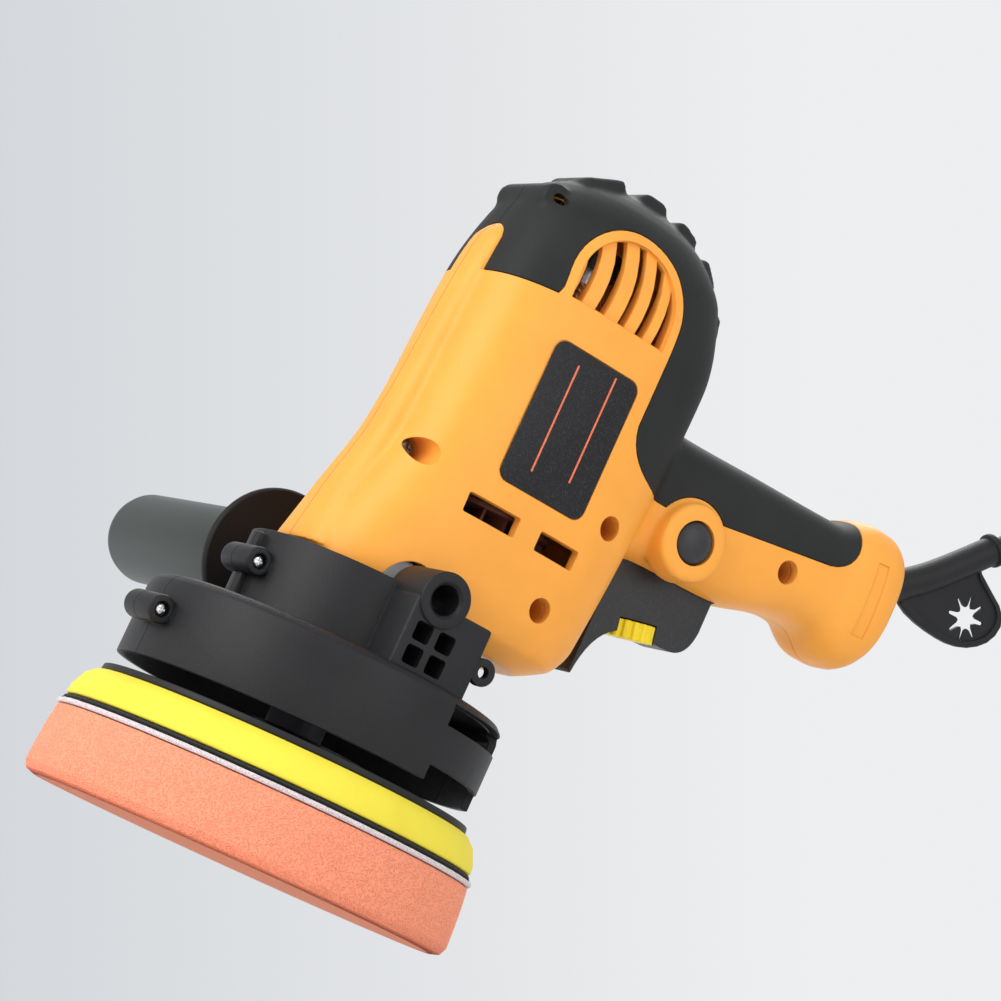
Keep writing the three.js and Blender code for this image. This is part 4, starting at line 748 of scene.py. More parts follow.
grip_low, grip_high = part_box("side_handle_grip")
grip_radius = 17 * MM
grip_start = grip_low.y
grip_end = grip_high.y
barrel = [(0, grip_start), (grip_radius - 0.6 * MM, grip_start), (grip_radius, grip_start + 1.2 * MM),
          (grip_radius + 0.3 * MM, grip_start + 30 * MM), (grip_radius, grip_end - 8 * MM),
          (grip_radius - 0.9 * MM, grip_end - 4.6 * MM), (grip_radius - 3 * MM, grip_end - 1.9 * MM),
          (grip_radius - 6.4 * MM, grip_end - 0.6 * MM), (grip_radius - 11 * MM, grip_end - 0.2 * MM),
          (0, grip_end)]
side_grip = turned("side_grip_barrel", barrel, axis="Y", place=(0, 0, bore_z), steps=96, soft=0.5 * MM)
combine(side_grip, "DIFFERENCE", rod_y("bore", bore_radius, 0, bore_z, grip_start - 5 * MM,
                                       grip_start + 32 * MM, soft=0))
grip_nylon = moulded("grip_nylon", (0.030, 0.037, 0.034), 0.46, 0.5 * MM, 0.03 * MM)
finished(side_grip, grip_nylon, "housing", "side_handle_grip", slot="handle_plastic", crease=30)

flange_radius = (flange_high.x - flange_low.x) / 2
guard_face = shroud_radius + 0.3 * MM
guard = turned("side_guard", [
    (5 * MM, flange_low.y), (11 * MM, flange_low.y), (11 * MM, guard_face),
    (flange_radius - 0.8 * MM, guard_face),
    (flange_radius, guard_face + 0.9 * MM), (flange_radius, flange_high.y - 0.9 * MM),
    (flange_radius - 0.8 * MM, flange_high.y), (5 * MM, flange_high.y)],
    axis="Y", place=(0, 0, bore_z), steps=128, soft=0.3 * MM)
guard_plastic = moulded("guard_plastic", (0.006, 0.005, 0.005), 0.6, 0.5 * MM, 0.03 * MM)
finished(guard, guard_plastic, "housing", "side_handle_flange", slot="flange_plastic")


# ---------------------------------------------------------------- motor body
# Two halves moulded in satin orange plastic: a boxy upright motor housing that flares at the
# foot, a rounded spine down its front, and the trigger grip that grows out of its back.

body_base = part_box("bearing_plate")[0].z - 2.7 * MM
HALF_WIDTH = 34
BODY_WALL = 3.8

# Sizes at each height above the body's base: height, front, back, half width, squareness.
BODY_STATIONS = [
    (-4, -22, 62, 26, 3), (3, -27.8, 73.5, 32.5, 3), (12, -27.5, 77.5, 33.8, 3),
    (52, -16.5, 80, HALF_WIDTH, 3.3),
    (112, -13, 83, HALF_WIDTH, 3.2), (140, -8, 77.5, 30.5, 2.8), (152, 0, 68.5, 24.5, 2.5),
    (160, 15, 55, 15, 2.3),
    (163, 26, 43, 7, 2)]
# Sizes along the grip: x, bottom height, top height, half width.
GRIP_STATIONS = [
    (62, 42, 104, 19), (88, 50.5, 100, 21.3), (122, 52, 101, 21.4), (160, 60.5, 102, 20.8),
    (166, 60, 103.5, 21),
    (171, 56.5, 106.5, 21.5), (177, 53.5, 108.7, 21.8), (185, 53.5, 108.7, 21.8), (191.5, 58, 106, 20.4),
    (195.5, 68, 99, 15.5)]
# Sizes up the spine: height, front, back, half width.
SPINE_STATIONS = [
    (4, -32, -10, 18.5), (24, -28.3, -6, 14), (52, -22, -5, 10.5), (112, -16.5, -4, 9.5),
    (126, -14, -2, 8.5),
    (131.5, -9.5, 0, 5)]


def between(rows, value):
    """The sizes at one place along the stations, on smooth curves that never overshoot."""
    spans = [b[0] - a[0] for a, b in zip(rows, rows[1:])]
    k = max(0, min(len(spans) - 1, sum(row[0] <= value for row in rows) - 1))
    share = (value - rows[k][0]) / spans[k]
    sizes = []
    for column in range(1, len(rows[0])):
        rates = [(b[column] - a[column]) / span for a, b, span in zip(rows, rows[1:], spans)]
        slopes = []
        for i in (k, k + 1):
            before = rates[max(0, i - 1)]
            after = rates[min(len(rates) - 1, i)]
            slopes.append(2 * before * after / (before + after) if before * after > 0 else 0)
        h00 = 2 * share ** 3 - 3 * share ** 2 + 1
        h10 = share ** 3 - 2 * share ** 2 + share
        h11 = share ** 3 - share ** 2
        sizes.append(h00 * rows[k][column] + (1 - h00) * rows[k + 1][column]
                     + spans[k] * (h10 * slopes[0] + h11 * slopes[1]))
    return sizes


def levels(rows, step):
    """Places along the stations, close together and on both ends."""
    count = max(2, round((rows[-1][0] - rows[0][0]) / step))
    return [rows[0][0] + (rows[-1][0] - rows[0][0]) * i / count for i in range(count + 1)]


def soft_ring(half_u, half_v, squareness, count):
    """A rounded rectangle: squareness 2 is an ellipse, and higher is boxier."""
    ring = []
    for i in range(count):
        angle = 2 * math.pi * (i + 0.5) / count
        c, s = math.cos(angle), math.sin(angle)
        ring.append((half_u * math.copysign(abs(c) ** (2 / squareness), c),
                     half_v * math.copysign(abs(s) ** (2 / squareness), s)))
    return ring


def skinned(name, rings):
    """Closes a stack of rings, in millimetres from the body's base, into one solid."""
    count = len(rings[0])
    points = [(x * MM, y * MM, body_base + z * MM) for ring in rings for x, y, z in ring]
    faces = [tuple(range(count - 1, -1, -1)), tuple(range(len(points) - count, len(points)))]
    for row in range(len(rings) - 1):
        a = row * count
        faces += [(a + i, a + (i + 1) % count, a + count + (i + 1) % count,
                   a + count + i) for i in range(count)]
    return facing_out(new_piece(name, points, faces=faces))


def body_form(inset, count=72, step=3.0):
    """The upright motor housing, shrunk by an inset."""
    rings = []
    places = levels(BODY_STATIONS, step)
    for height in places:
        front, back, wide, squareness = between(BODY_STATIONS, height)
        level = min(max(height, places[0] + inset), places[-1] - inset)
        ring = soft_ring((back - front) / 2 - inset, wide - inset, squareness, count)
        if rings and level - rings[-1][0][2] < 0.2:
            continue
        rings.append([((front + back) / 2 + u, v, level) for u, v in ring])
    return skinned("body_form", rings)


def grip_form(inset, count=56, step=3.0):
    """The trigger grip, shrunk by an inset."""
    rings = []
    places = levels(GRIP_STATIONS, step)
    for x in places:
        low, high, wide = between(GRIP_STATIONS, x)
        place = min(x, places[-1] - inset)
        if rings and place - rings[-1][0][0] < 0.2:
            continue
        ring = soft_ring(wide - inset, (high - low) / 2 - inset, 2.8, count)
        rings.append([(place, u, (low + high) / 2 + v) for u, v in ring])
    return skinned("grip_form", rings)


def spine_form(grow):
    """The rounded spine down the front, grown by a margin."""
    rings = []
    for height in levels(SPINE_STATIONS, 3.0):
        front, back, wide = between(SPINE_STATIONS, height)
        ring = soft_ring((back - front) / 2 + grow, wide + grow, 2.6, 40)
        rings.append([((front + back) / 2 + u, v, height) for u, v in ring])
    return skinned("spine_form", rings)


def blended(piece, voxel, rounds):
    """Melts joined forms into one skin, so that their meeting lines become soft fillets."""
    modify(piece, "REMESH", mode="VOXEL", voxel_size=voxel, use_smooth_shade=True)
    modify(piece, "SMOOTH", factor=0.5, iterations=rounds)
    return piece


def slab(name, outline, y0, y1, soft=0.0, segments=2):
    """A flat outline of (x, height) in millimetres from the body's base, thickened along Y."""
    piece = new_piece(name, [(x * MM, y0, body_base + h * MM) for x, h in outline],
                      faces=[tuple(range(len(outline)))])
    facing_out(piece, rise=(0, y1 - y0, 0))
    if soft:
        modify(piece, "BEVEL", width=soft, segments=segments, limit_method="ANGLE",
               angle_limit=math.radians(40))
    return piece


def arc(x, h, radius, start, end, count):
    """Points on a circle, between two angles in degrees."""
    angles = [math.radians(start + (end - start) * i / count) for i in range(count + 1)]
    return [(x + radius * math.cos(a), h + radius * math.sin(a)) for a in angles]


def rounded_box(x0, x1, h0, h1, radius):
    return (arc(x1 - radius, h0 + radius, radius, -90, 0, 6) + arc(x1 - radius, h1 - radius, radius, 0, 90,
                                                                   6)
            + arc(x0 + radius, h1 - radius, radius, 90, 180, 6) + arc(x0 + radius, h0 + radius, radius, 180,
                                                                      270, 6))


ARCH = (29.5, 123)
ARCH_RADIUS = 20
ARCH_FOOT = 114
ARCH_FRAME = 3.4
BUTTON = (98, 65)
BOSS_RADIUS = 13.4
WIDE = 60 * MM


def curve_through(start, control, end, count=10):
    """A smooth bend from start to end, pulled towards control."""
    points = []
    for i in range(1, count + 1):
        t = i / count
        points.append(tuple((1 - t) ** 2 * a + 2 * t * (1 - t) * b + t * t * c
                            for a, b, c in zip(start, control, end)))
    return points


def rubber_outline(inset):
    """The side view of the rubber-covered part of the skin."""
    frame_radius = ARCH_RADIUS + ARCH_FRAME + inset
    around_boss = arc(*BUTTON, BOSS_RADIUS + 2 + inset, 155, 47, 14)
    x, h = ARCH
    return ([(-40, 114), (-13.5 + inset, 114), (-13.5 + inset, 112 + inset),
             (x - frame_radius - 1, 113 + inset),
             (x - frame_radius, 116 + inset)] + arc(x, h, frame_radius, 180, 0, 24)
            + [(x + frame_radius, 88)]
            + curve_through((x + frame_radius, 88), (x + frame_radius + 3, 71.5 + inset), around_boss[0])
            + around_boss[1:]
            + [(158, 84 + inset)]
            + curve_through((158, 84 + inset), (168.5 - inset, 86.5 + inset), (169 - inset, 97), 6)
            + [(170 - inset, 130), (130, 200), (-40, 200)])


def plain_skin():
    """The body and the grip as one soft-cornered form, with the lock button's boss."""
    x, h = BUTTON
    boss = rod_y("boss", BOSS_RADIUS * MM, x * MM, body_base + h * MM, -26 * MM, -15 * MM, soft=1.4 * MM,
                 end_radius=(BOSS_RADIUS + 1.8) * MM)
    return combine(body_form(0), "UNION", grip_form(0), boss)


orange_skin = blended(combine(plain_skin(), "UNION", spine_form(0)), 1.15 * MM, 3)

SCREW_PLACES = {"screw_front": (-12, 46), "screw_lower": (47.5, 17), "screw_middle": (60, 53),
                "screw_upper": (0, 141), "screw_grip": (142, 74)}
HEAD_DEPTH = 9 * MM


def screw_recesses():
    tools = []
    for x, h in SCREW_PLACES.values():
        tools.append(rod_y("recess", 4.3 * MM, x * MM, body_base + h * MM, -WIDE, -HEAD_DEPTH, soft=0,
                           sides=40))
        tools.append(rod_y("pilot", 2.0 * MM, x * MM, body_base + h * MM, -WIDE, 14 * MM, soft=0, sides=16))
    return tools


def screw_posts():
    """Solid posts across the hollow, round each housing screw."""
    reach = {"screw_front": 30, "screw_lower": 28, "screw_middle": 27, "screw_upper": 10, "screw_grip": 16}
    posts = []
    for name, (x, h) in SCREW_PLACES.items():
        far = reach[name] * MM
        posts.append(rod_y("post", 6.1 * MM, x * MM, body_base + h * MM, -far, far, soft=0))
    return posts


def arch(radius, foot):
    """The vent window's outline: a half circle on straight sides that end at a foot."""
    x, h = ARCH
    return [(x + radius, foot)] + arc(x, h, radius, 0, 180, 28) + [(x - radius, foot)]


hollow = combine(body_form(BODY_WALL, 36, 6.0), "UNION", grip_form(BODY_WALL, 28, 6.0))
arch_backing = slab("backing", arch(ARCH_RADIUS + 1.5, ARCH_FOOT - 2), -WIDE, WIDE)
combine(arch_backing, "DIFFERENCE", box_piece("core", (-0.1, -27.6 * MM, 0), (0.2, 27.6 * MM, 0.4)))
combine(hollow, "DIFFERENCE", arch_backing, *screw_posts())
body = combine(orange_skin, "DIFFERENCE", hollow)
body.name = "body"


def skin_pocket(outline, *inset_forms):
    """What lies inside an outline and outside the inset forms: a shallow pocket in the skin."""
    return combine(slab("pocket", outline, -WIDE, WIDE), "DIFFERENCE", *inset_forms)


arch_recess = skin_pocket(arch(ARCH_RADIUS, ARCH_FOOT), body_form(1.5))
rubber_pocket = skin_pocket(rubber_outline(0), body_form(2.2), grip_form(2.2))
combine(rubber_pocket, "DIFFERENCE", spine_form(0.1))
label_pocket = slab("label_pocket", rounded_box(10.7, 47.3, 48.7, 100.3, 4.3), -WIDE, WIDE)
label_floor = (HALF_WIDTH - 1) * MM
combine(label_pocket, "DIFFERENCE", box_piece("core", (-0.1, -label_floor, 0), (0.2, label_floor, 0.4)))


def arch_gaps():
    """The air gaps between the four bowed blades of the vent window."""
    x = ARCH[0]
    window = arch(ARCH_RADIUS - 0.4, ARCH_FOOT + 0.6)
    bow = [(0, 0), (0.9, 6), (1.3, 12), (1.0, 18), (-0.2, 24), (-2.2, 31)]
    gaps = []
    for left, right in ((-19.6, -15.4), (-10.0, -5.7), (-0.2, 2.9), (7.6, 11.3), (15.1, 19.6)):
        outline = [(x + right + dx, ARCH_FOOT + dh) for dx, dh in bow]
        outline += [(x + left + dx, ARCH_FOOT + dh) for dx, dh in reversed(bow)]
        gap = slab("gap", outline, -WIDE, WIDE)
        gaps.append(combine(gap, "INTERSECT", slab("window", window, -0.1, 0.1)))
    return gaps


# The strain relief's centreline: x, and height above the body's base.
BOOT_STATIONS = [(181, 90.5), (194, 90.5), (202, 94), (208, 98.3), (215.5, 104), (222.5, 110.2),
                 (229.6, 117),
                 (236.5, 123.8), (240.5, 127.6)]


def sleeve(name, radius):
    """A solid tube along the strain relief's centreline, a little slimmer at its end."""
    path = bpy.data.curves.new(name, "CURVE")
    path.dimensions = "3D"
    path.bevel_depth = radius
    path.bevel_resolution = 8
    path.resolution_u = 8
    path.use_fill_caps = True
    line = path.splines.new("BEZIER")
    line.bezier_points.add(len(BOOT_STATIONS) - 1)
    for i, (bend, (x, h)) in enumerate(zip(line.bezier_points, BOOT_STATIONS)):
        bend.co = (x * MM, 0, body_base + h * MM)
        bend.handle_left_type = bend.handle_right_type = "AUTO"
        bend.radius = 1.0 - 0.01 * i
    made = bpy.data.objects.new(name, path)
    scene.collection.objects.link(made)
    only(made)
    bpy.ops.object.convert(target="MESH")
    return facing_out(bpy.context.active_object, merge=True)


vents = [slab("vent", rounded_box(x0, x1, 33.5, 40.5, 0.8), -WIDE, WIDE) for x0, x1 in ((5, 26), (35, 52))]
trigger_low, trigger_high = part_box("trigger")
mouth = box_piece("mouth", (trigger_low.x - MM, trigger_low.y - 0.6 * MM, trigger_high.z - 24 * MM),
                  (trigger_high.x + MM, trigger_high.y + 0.6 * MM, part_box("switch_body")[1].z),
                  soft=1.0 * MM)
button_hole = rod_y("button_hole", 7.9 * MM, BUTTON[0] * MM, body_base + BUTTON[1] * MM, -WIDE, -10 * MM,
                    soft=0)
exit_hole = sleeve("exit_hole", 6.3 * MM)
foot = turned("foot", [(0, collar_top - 0.04), (collar_radius + 0.3 * MM, collar_top - 0.04),
                       (collar_radius + 0.3 * MM, collar_top + 0.3 * MM), (0, collar_top + 0.3 * MM)],
                       steps=96)
boss_room = rod_y("boss_room", boss_radius + MM, 0, bore_z, -WIDE, WIDE, soft=0)
web_room = box_piece("web_room", (-boss_radius - MM, -WIDE, shroud_top),
                     (21.3 * MM, WIDE, collar_top + 0.3 * MM))
plaque = skin_pocket([(177.5, 94.5), (182.5, 95), (184, 67), (178.3, 66.7)], grip_form(0.45))


def flank_taper(side):
    """The lower flank falls inwards below a crisp line, above the head's bosses."""
    x0, x1, crease, low = 4, 90, 17.5, -8
    face = HALF_WIDTH + 0.25
    corners = []
    for x in (x0, x1):
        corners += [(x, side * face, crease), (x, side * (face - 3.4), low), (x, side * (face + 9), low),
                    (x, side * (face + 9), crease + 0.6)]
    wedge = new_piece("flank_taper", [(x * MM, y * MM, body_base + h * MM) for x, y, h in corners], faces=[
        (0, 1, 2, 3), (4, 7, 6, 5), (0, 4, 5, 1), (1, 5, 6, 2), (2, 6, 7, 3), (3, 7, 4, 0)])
    return facing_out(wedge)


combine(body, "DIFFERENCE", arch_recess, rubber_pocket, label_pocket, *arch_gaps(), *vents, mouth,
        button_hole,
        exit_hole, foot, boss_room, web_room, plaque, flank_taper(-1), flank_taper(1), *screw_recesses())

orange = moulded("satin_orange", (0.88, 0.36, 0.05), 0.42, 0.9 * MM, 0.012 * MM, edge=0.5 * MM, cast=0.03)
in_halves(body, "body_half_", orange, "body_", "orange_plastic", 30)


# ---------------------------------------------------------------- rubber overmould
# Soft black rubber over the top of the motor and the back of the grip, flush with the
# orange skin round a thin gap. Five pads cushion the curve where the tool is laid down.

def bumper(x, h, lean, reach):
    """One rounded pad, 26 mm wide, that lies on the curve and leans with it."""
    cushion = box_piece("bumper", (-reach * MM, -13 * MM, -2.5 * MM), (reach * MM, 13 * MM, 2.5 * MM),
                        soft=2.4 * MM, segments=5)
    cushion.data.transform(Matrix.Translation((x * MM, 0, body_base + h * MM)) @ Matrix.Rotation(
        math.radians(lean), 4, "Y"))
    return cushion


bumpers = [bumper(15.5, 159.3, -24, 8.5), bumper(36.5, 163.0, 2, 5.5), bumper(53, 160.2, 24, 5.5),
           bumper(67, 152, 46, 6), bumper(79.8, 130.5, 77, 12)]
horn_x = -1.5 * MM
horn_z = body_base + 144.5 * MM
horn = rod_y("horn", 5.8 * MM, horn_x, horn_z, -15.8 * MM, 15.8 * MM, soft=1.2 * MM)
rubber_skin = blended(combine(plain_skin(), "UNION", horn, *bumpers), 1.3 * MM, 3)
combine(rubber_skin, "DIFFERENCE", body_form(1.9), grip_form(1.9))
combine(rubber_skin, "INTERSECT", slab("cover", rubber_outline(0.35), -WIDE, WIDE))
combine(rubber_skin, "DIFFERENCE", spine_form(0.35))
combine(rubber_skin, "UNION", rod_y("bush", 3.4 * MM, horn_x, horn_z, -15 * MM, -10 * MM, soft=0, sides=32))
combine(rubber_skin, "DIFFERENCE", rod_y("horn_hole", 2.1 * MM, horn_x, horn_z, -WIDE, -11.5 * MM, soft=0,
                                         sides=32))
soft_rubber = moulded("soft_rubber", (0.012, 0.0125, 0.012), 0.6, 0.7 * MM, 0.03 * MM, edge=0.5 * MM,
                      cast=0.1)
in_halves(rubber_skin, "rubber_half_", soft_rubber, "rubber_", "soft_rubber", 40)


# ---------------------------------------------------------------- label plates
# A grained black film with two thin printed rules, one on each flank. It carries no words.

label_film = Finish("label_film", (0.01, 0.01, 0.011), 0.5, Specular_IOR_Level=0.3)
flecks = label_film.noise(0.55 * MM, detail=2, roughness=0.7)
flecked = label_film.mix(flecks.ramp(0.5, 0.72), (0.007, 0.007, 0.008), (0.032, 0.032, 0.036))
label_film.feed("Base Color", flecked)
label_film.feed("Roughness", flecks * 0.35 + 0.3)
label_film.relief(flecks, 0.12 * MM, edge=0.3 * MM)
rule_ink = Finish("rule_ink", (0.80, 0.17, 0.06), 0.5)
ink_grain = rule_ink.noise(0.5 * MM, detail=2)
rule_ink.feed("Base Color", rule_ink.mix(ink_grain.ramp(0.4, 0.7), (0.70, 0.13, 0.045), (0.88, 0.22, 0.09)))
rule_ink.relief(ink_grain, 0.05 * MM)
for name, side in (("left", -1), ("right", 1)):
    outside = side * (HALF_WIDTH * MM - 0.15 * MM)
    back = side * (HALF_WIDTH * MM - 0.7 * MM)
    plate = slab("label_plate_" + name, rounded_box(11, 47, 49, 100, 4), *sorted((outside, back)),
                 soft=0.15 * MM)
    finished(plate, label_film, "housing", "label_" + name, slot="label_film")
    rules = []
    for x, low, high in ((22, 56, 95), (37, 59, 98)):
        proud = outside + side * 0.06 * MM
        sunk = outside - side * 0.1 * MM
        rules.append(slab("rule", rounded_box(x - 0.35, x + 0.35, low, high, 0.3), *sorted((proud, sunk))))
    finished(joined("label_rules_" + name, rules), rule_ink, "housing", slot="label_film")


# ---------------------------------------------------------------- housing screws
# Five cross-head screws sit at the bottom of deep round recesses in the left half.

for node, (x, h) in SCREW_PLACES.items():
    low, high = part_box(node)
    screw = cross_screw(node + "_steel", x * MM, body_base + h * MM, low.y + 2.6 * MM, 3.7 * MM, 2.3 * MM,
                        1.7 * MM,
                        high.y - 0.2 * MM)
    finished(screw, cut_steel, "housing", node, slot="steel")


# ---------------------------------------------------------------- trigger
# Dark satin plastic, with a finger scoop in front and a slot that shows the speed dial's rim.
# A steel spring behind it pushes it back out.

TRIGGER_TIP = 7
TRIGGER_FOOT = 30.5
TRIGGER_TOP = 54

x0, x1 = trigger_low.x / MM, trigger_high.x / MM
trigger_side = [(x0, TRIGGER_TIP + 1), (x0 + 1.2, TRIGGER_TIP)]
trigger_side += curve_through((x0 + 1.2, TRIGGER_TIP), (x0 + 3, TRIGGER_FOOT - 4),
                              (x0 + 16, TRIGGER_FOOT - 1))
trigger_side += [(x1 - 9, TRIGGER_FOOT)]
trigger_side += curve_through((x1 - 9, TRIGGER_FOOT), (x1 - 1, TRIGGER_FOOT + 0.5), (x1, TRIGGER_FOOT + 11))
trigger_side += [(x1, TRIGGER_TOP), (x0, TRIGGER_TOP)]
trigger = slab("trigger_lever", trigger_side, trigger_low.y, trigger_high.y, soft=1.6 * MM, segments=4)

DIAL = (101.5, 31)
DIAL_TILT = math.radians(-12)


def tipped(piece):
    """Brings a piece made at the origin, flat, to the dial's place and tilt."""
    piece.data.transform(Matrix.Translation((DIAL[0] * MM, 0, body_base + DIAL[1] * MM)) @ Matrix.Rotation(
        DIAL_TILT, 4, "Y"))
    return piece


dial_room = tipped(turned("dial_room", [(0, -3.7 * MM), (12 * MM, -3.7 * MM), (12 * MM, 3.7 * MM),
                                        (0, 3.7 * MM)], steps=64))
spring_low, spring_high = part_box("trigger_spring")
spring_room = turned("spring_room", [(0, spring_low.z - 0.3 * MM), (4 * MM, spring_low.z - 0.3 * MM),
                                     (4 * MM, trigger_high.z + MM), (0, trigger_high.z + MM)],
                     place=((spring_low.x + spring_high.x) / 2, 0, 0), steps=32)
pivot_room = tipped(turned("pivot_room", [(0, -7 * MM), (1.8 * MM, -7 * MM), (1.8 * MM, 7 * MM),
                                          (0, 7 * MM)],
                           steps=24))
combine(trigger, "DIFFERENCE", dial_room, spring_room, pivot_room)
trigger_plastic = Finish("trigger_plastic", (0.03, 0.03, 0.032), 0.38, Specular_IOR_Level=0.4)
rubbed = trigger_plastic.noise(1.6 * MM, detail=4, stretch=(9, 1, 1), roughness=0.65)
worn = trigger_plastic.mix(rubbed.ramp(0.52, 0.75), (0.020, 0.020, 0.021), (0.060, 0.060, 0.064))
trigger_plastic.feed("Base Color", worn)
trigger_plastic.feed("Roughness", rubbed * 0.35 + 0.25)
trigger_plastic.relief(rubbed, 0.05 * MM, edge=0.4 * MM)
finished(trigger, trigger_plastic, "trigger_group", "trigger", slot="trigger_plastic")
dress(bright_steel, "trigger_spring")


# ---------------------------------------------------------------- speed dial
# A yellow thumb wheel with rounded grip ridges round its rim, on a short pin.

def ridged_wheel(radius, ridges, half_height):
    """A flat wheel whose rim swells into rounded ridges."""
    rim = []
    for i in range(ridges):
        for share, depth in ((0.0, 1.0), (0.14, 0.55), (0.28, 0.0), (0.5, -0.12), (0.72, 0.0), (0.86, 0.55)):
            angle = 2 * math.pi * (i + share) / ridges
            reach = radius - depth * MM
            rim.append((reach * math.cos(angle), reach * math.sin(angle), -half_height))
    wheel = new_piece("dial", rim, faces=[tuple(range(len(rim)))])
    facing_out(wheel, rise=(0, 0, 2 * half_height))
    return modify(wheel, "BEVEL", width=0.4 * MM, segments=3, limit_method="ANGLE",
                  angle_limit=math.radians(60))


dial = ridged_wheel(11.5 * MM, 20, 3.2 * MM)
pin = turned("pin", [(0, -3.4 * MM), (1.5 * MM, -3.4 * MM), (1.5 * MM, 6.2 * MM), (0, 6.2 * MM)], steps=24,
             soft=0.2 * MM)
dial = tipped(joined("dial_wheel", [dial, pin]))
dial_plastic = moulded("dial_yellow", (0.87, 0.66, 0.02), 0.38, 0.6 * MM, 0.015 * MM)
finished(dial, dial_plastic, "dial_group", "speed_dial", slot="dial_plastic")


# ---------------------------------------------------------------- lock button
# A domed dark grey button that holds the trigger in; it works against a small flat spring.

button_low, button_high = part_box("lock_button")
button = turned("button_cap", [
    (0, button_low.y), (3.4 * MM, button_low.y + 0.25 * MM), (5.8 * MM, button_low.y + 0.95 * MM),
    (7.2 * MM, button_low.y + 2.1 * MM), (7.6 * MM, button_low.y + 3.4 * MM),
    (7.6 * MM, button_high.y - 3.5 * MM),
    (2.4 * MM, button_high.y - 3.5 * MM), (2.4 * MM, button_high.y), (0, button_high.y)],
    axis="Y", place=(BUTTON[0] * MM, 0, body_base + BUTTON[1] * MM), steps=72, soft=0.3 * MM)
button_plastic = moulded("button_plastic", (0.030, 0.030, 0.032), 0.35, 0.6 * MM, 0.02 * MM)
finished(button, button_plastic, "lock_group", "lock_button", slot="trigger_plastic", crease=50)
dress(bright_steel, "lock_spring")


# ---------------------------------------------------------------- switch and speed board
# The trigger switch is a moulded block, and the speed board is a lacquered circuit board.

inner_plastic = moulded("inner_plastic", (0.035, 0.037, 0.04), 0.5, 0.5 * MM, 0.02 * MM)
board_lacquer = moulded("board_lacquer", (0.03, 0.13, 0.05), 0.3, 0.8 * MM, 0.02 * MM)
dress(inner_plastic, "switch_body", "cord_clamp")
dress(board_lacquer, "speed_board")


# ---------------------------------------------------------------- strain relief
# A moulded rubber sleeve that bends up out of the grip. A flat teardrop flap under it has
# an eight-pointed hole that keeps the tool's wrench.

STAR = (240, 98.8)
FLAP_OUTLINE = [(207, 94), (208.5, 90), (213, 88.2), (219, 87), (225, 86.4), (231, 86.2), (236, 86.4),
                (241, 87.3),
                (245.5, 88.9), (249.8, 91.4), (253.4, 94.6), (255.8, 98.6), (256.6, 102.8), (255.4, 106.6),
                (252, 109.6), (246.2, 112.5), (238.5, 116.5), (234, 121.3), (226, 113.6), (216, 104.4)]


def flap():
    """The teardrop: a thin web inside a thicker rim, with the eight-armed hole."""
    x, h = STAR
    plate = slab("flap", FLAP_OUTLINE, -1.6 * MM, 1.6 * MM, soft=0.8 * MM, segments=3)
    inside = [(x + (u - x) * 0.84 - 0.4, h + (v - h) * 0.84 + 0.6) for u, v in FLAP_OUTLINE]
    thinning = [slab("thinning", inside, *sorted((side * 0.7 * MM, side * 3 * MM))) for side in (-1, 1)]
    star = []
    for i in range(8):
        for radius, share in ((4.1, -0.5), (4.9, -0.24), (8.5, -0.085), (8.9, 0.0), (8.5, 0.085),
                              (4.9, 0.24)):
            angle = 2 * math.pi * (i + share + 0.2) / 8
            star.append((x + radius * math.cos(angle), h + radius * math.sin(angle)))
    return combine(plate, "DIFFERENCE", *thinning, slab("star", star, -4 * MM, 4 * MM))


boot = sleeve("strain_relief", 6.0 * MM)
boot_end = turned("boot_ring", [(0, -2.2 * MM), (6.6 * MM, -2.2 * MM), (6.6 * MM, 0.4 * MM), (0, 0.4 * MM)],
                  steps=48,
                  soft=0.8 * MM)
direction = Vector((4, 0, 3.8)).normalized()
boot_end.data.transform(Matrix.Translation((239.9 * MM, 0,
                                            body_base + 127.1 * MM)) @ direction.to_track_quat(
    "Z", "Y").to_matrix().to_4x4())
retainer = box_piece("retainer", (182 * MM, -9 * MM, body_base + 81.5 * MM),
                     (184.5 * MM, 9 * MM, body_base + 99.5 * MM), soft=0.5 * MM)
combine(boot, "UNION", flap(), boot_end, retainer)
boot.name = "strain_relief"
boot_rubber = moulded("boot_rubber", (0.011, 0.011, 0.012), 0.48, 0.6 * MM, 0.03 * MM, edge=0.6 * MM,
                      cast=0.1)
finished(boot, boot_rubber, "housing", "cord_boot", slot="cord_rubber", crease=40)


# ---------------------------------------------------------------- plug
# A moulded rubber two-pin plug with ribbed flanks and round brass pins.

plug_low, plug_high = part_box("plug_body")


def plug_shape():
    """The plug's plan: a wide block for the pins, tapering back to the lead."""
    middle = (plug_low.y + plug_high.y) / 2
    wide = (plug_high.y - plug_low.y) / 2
    outline = [(plug_high.x, -4.6 * MM), (plug_high.x, 4.6 * MM), (plug_high.x - 20 * MM, wide),
               (plug_low.x + 3 * MM, wide), (plug_low.x, wide - 3 * MM), (plug_low.x, -wide + 3 * MM),
               (plug_low.x + 3 * MM, -wide), (plug_high.x - 20 * MM, -wide)]
    piece = new_piece("plug", [(x, middle + y, plug_low.z) for x, y in outline],
                      faces=[tuple(range(len(outline)))])
    facing_out(piece, rise=(0, 0, plug_high.z - plug_low.z))
    modify(piece, "BEVEL", width=1.8 * MM, segments=4, limit_method="ANGLE", angle_limit=math.radians(20))
    grooves = []
    for i in range(4):
        x = plug_low.x + (7 + 3.2 * i) * MM
        for y in (plug_low.y - MM, plug_high.y - 0.6 * MM):
            grooves.append(box_piece("groove", (x, y, plug_low.z + 2 * MM),
                                     (x + 1.4 * MM, y + 1.6 * MM, plug_high.z - 2 * MM)))
    return combine(piece, "DIFFERENCE", *grooves)


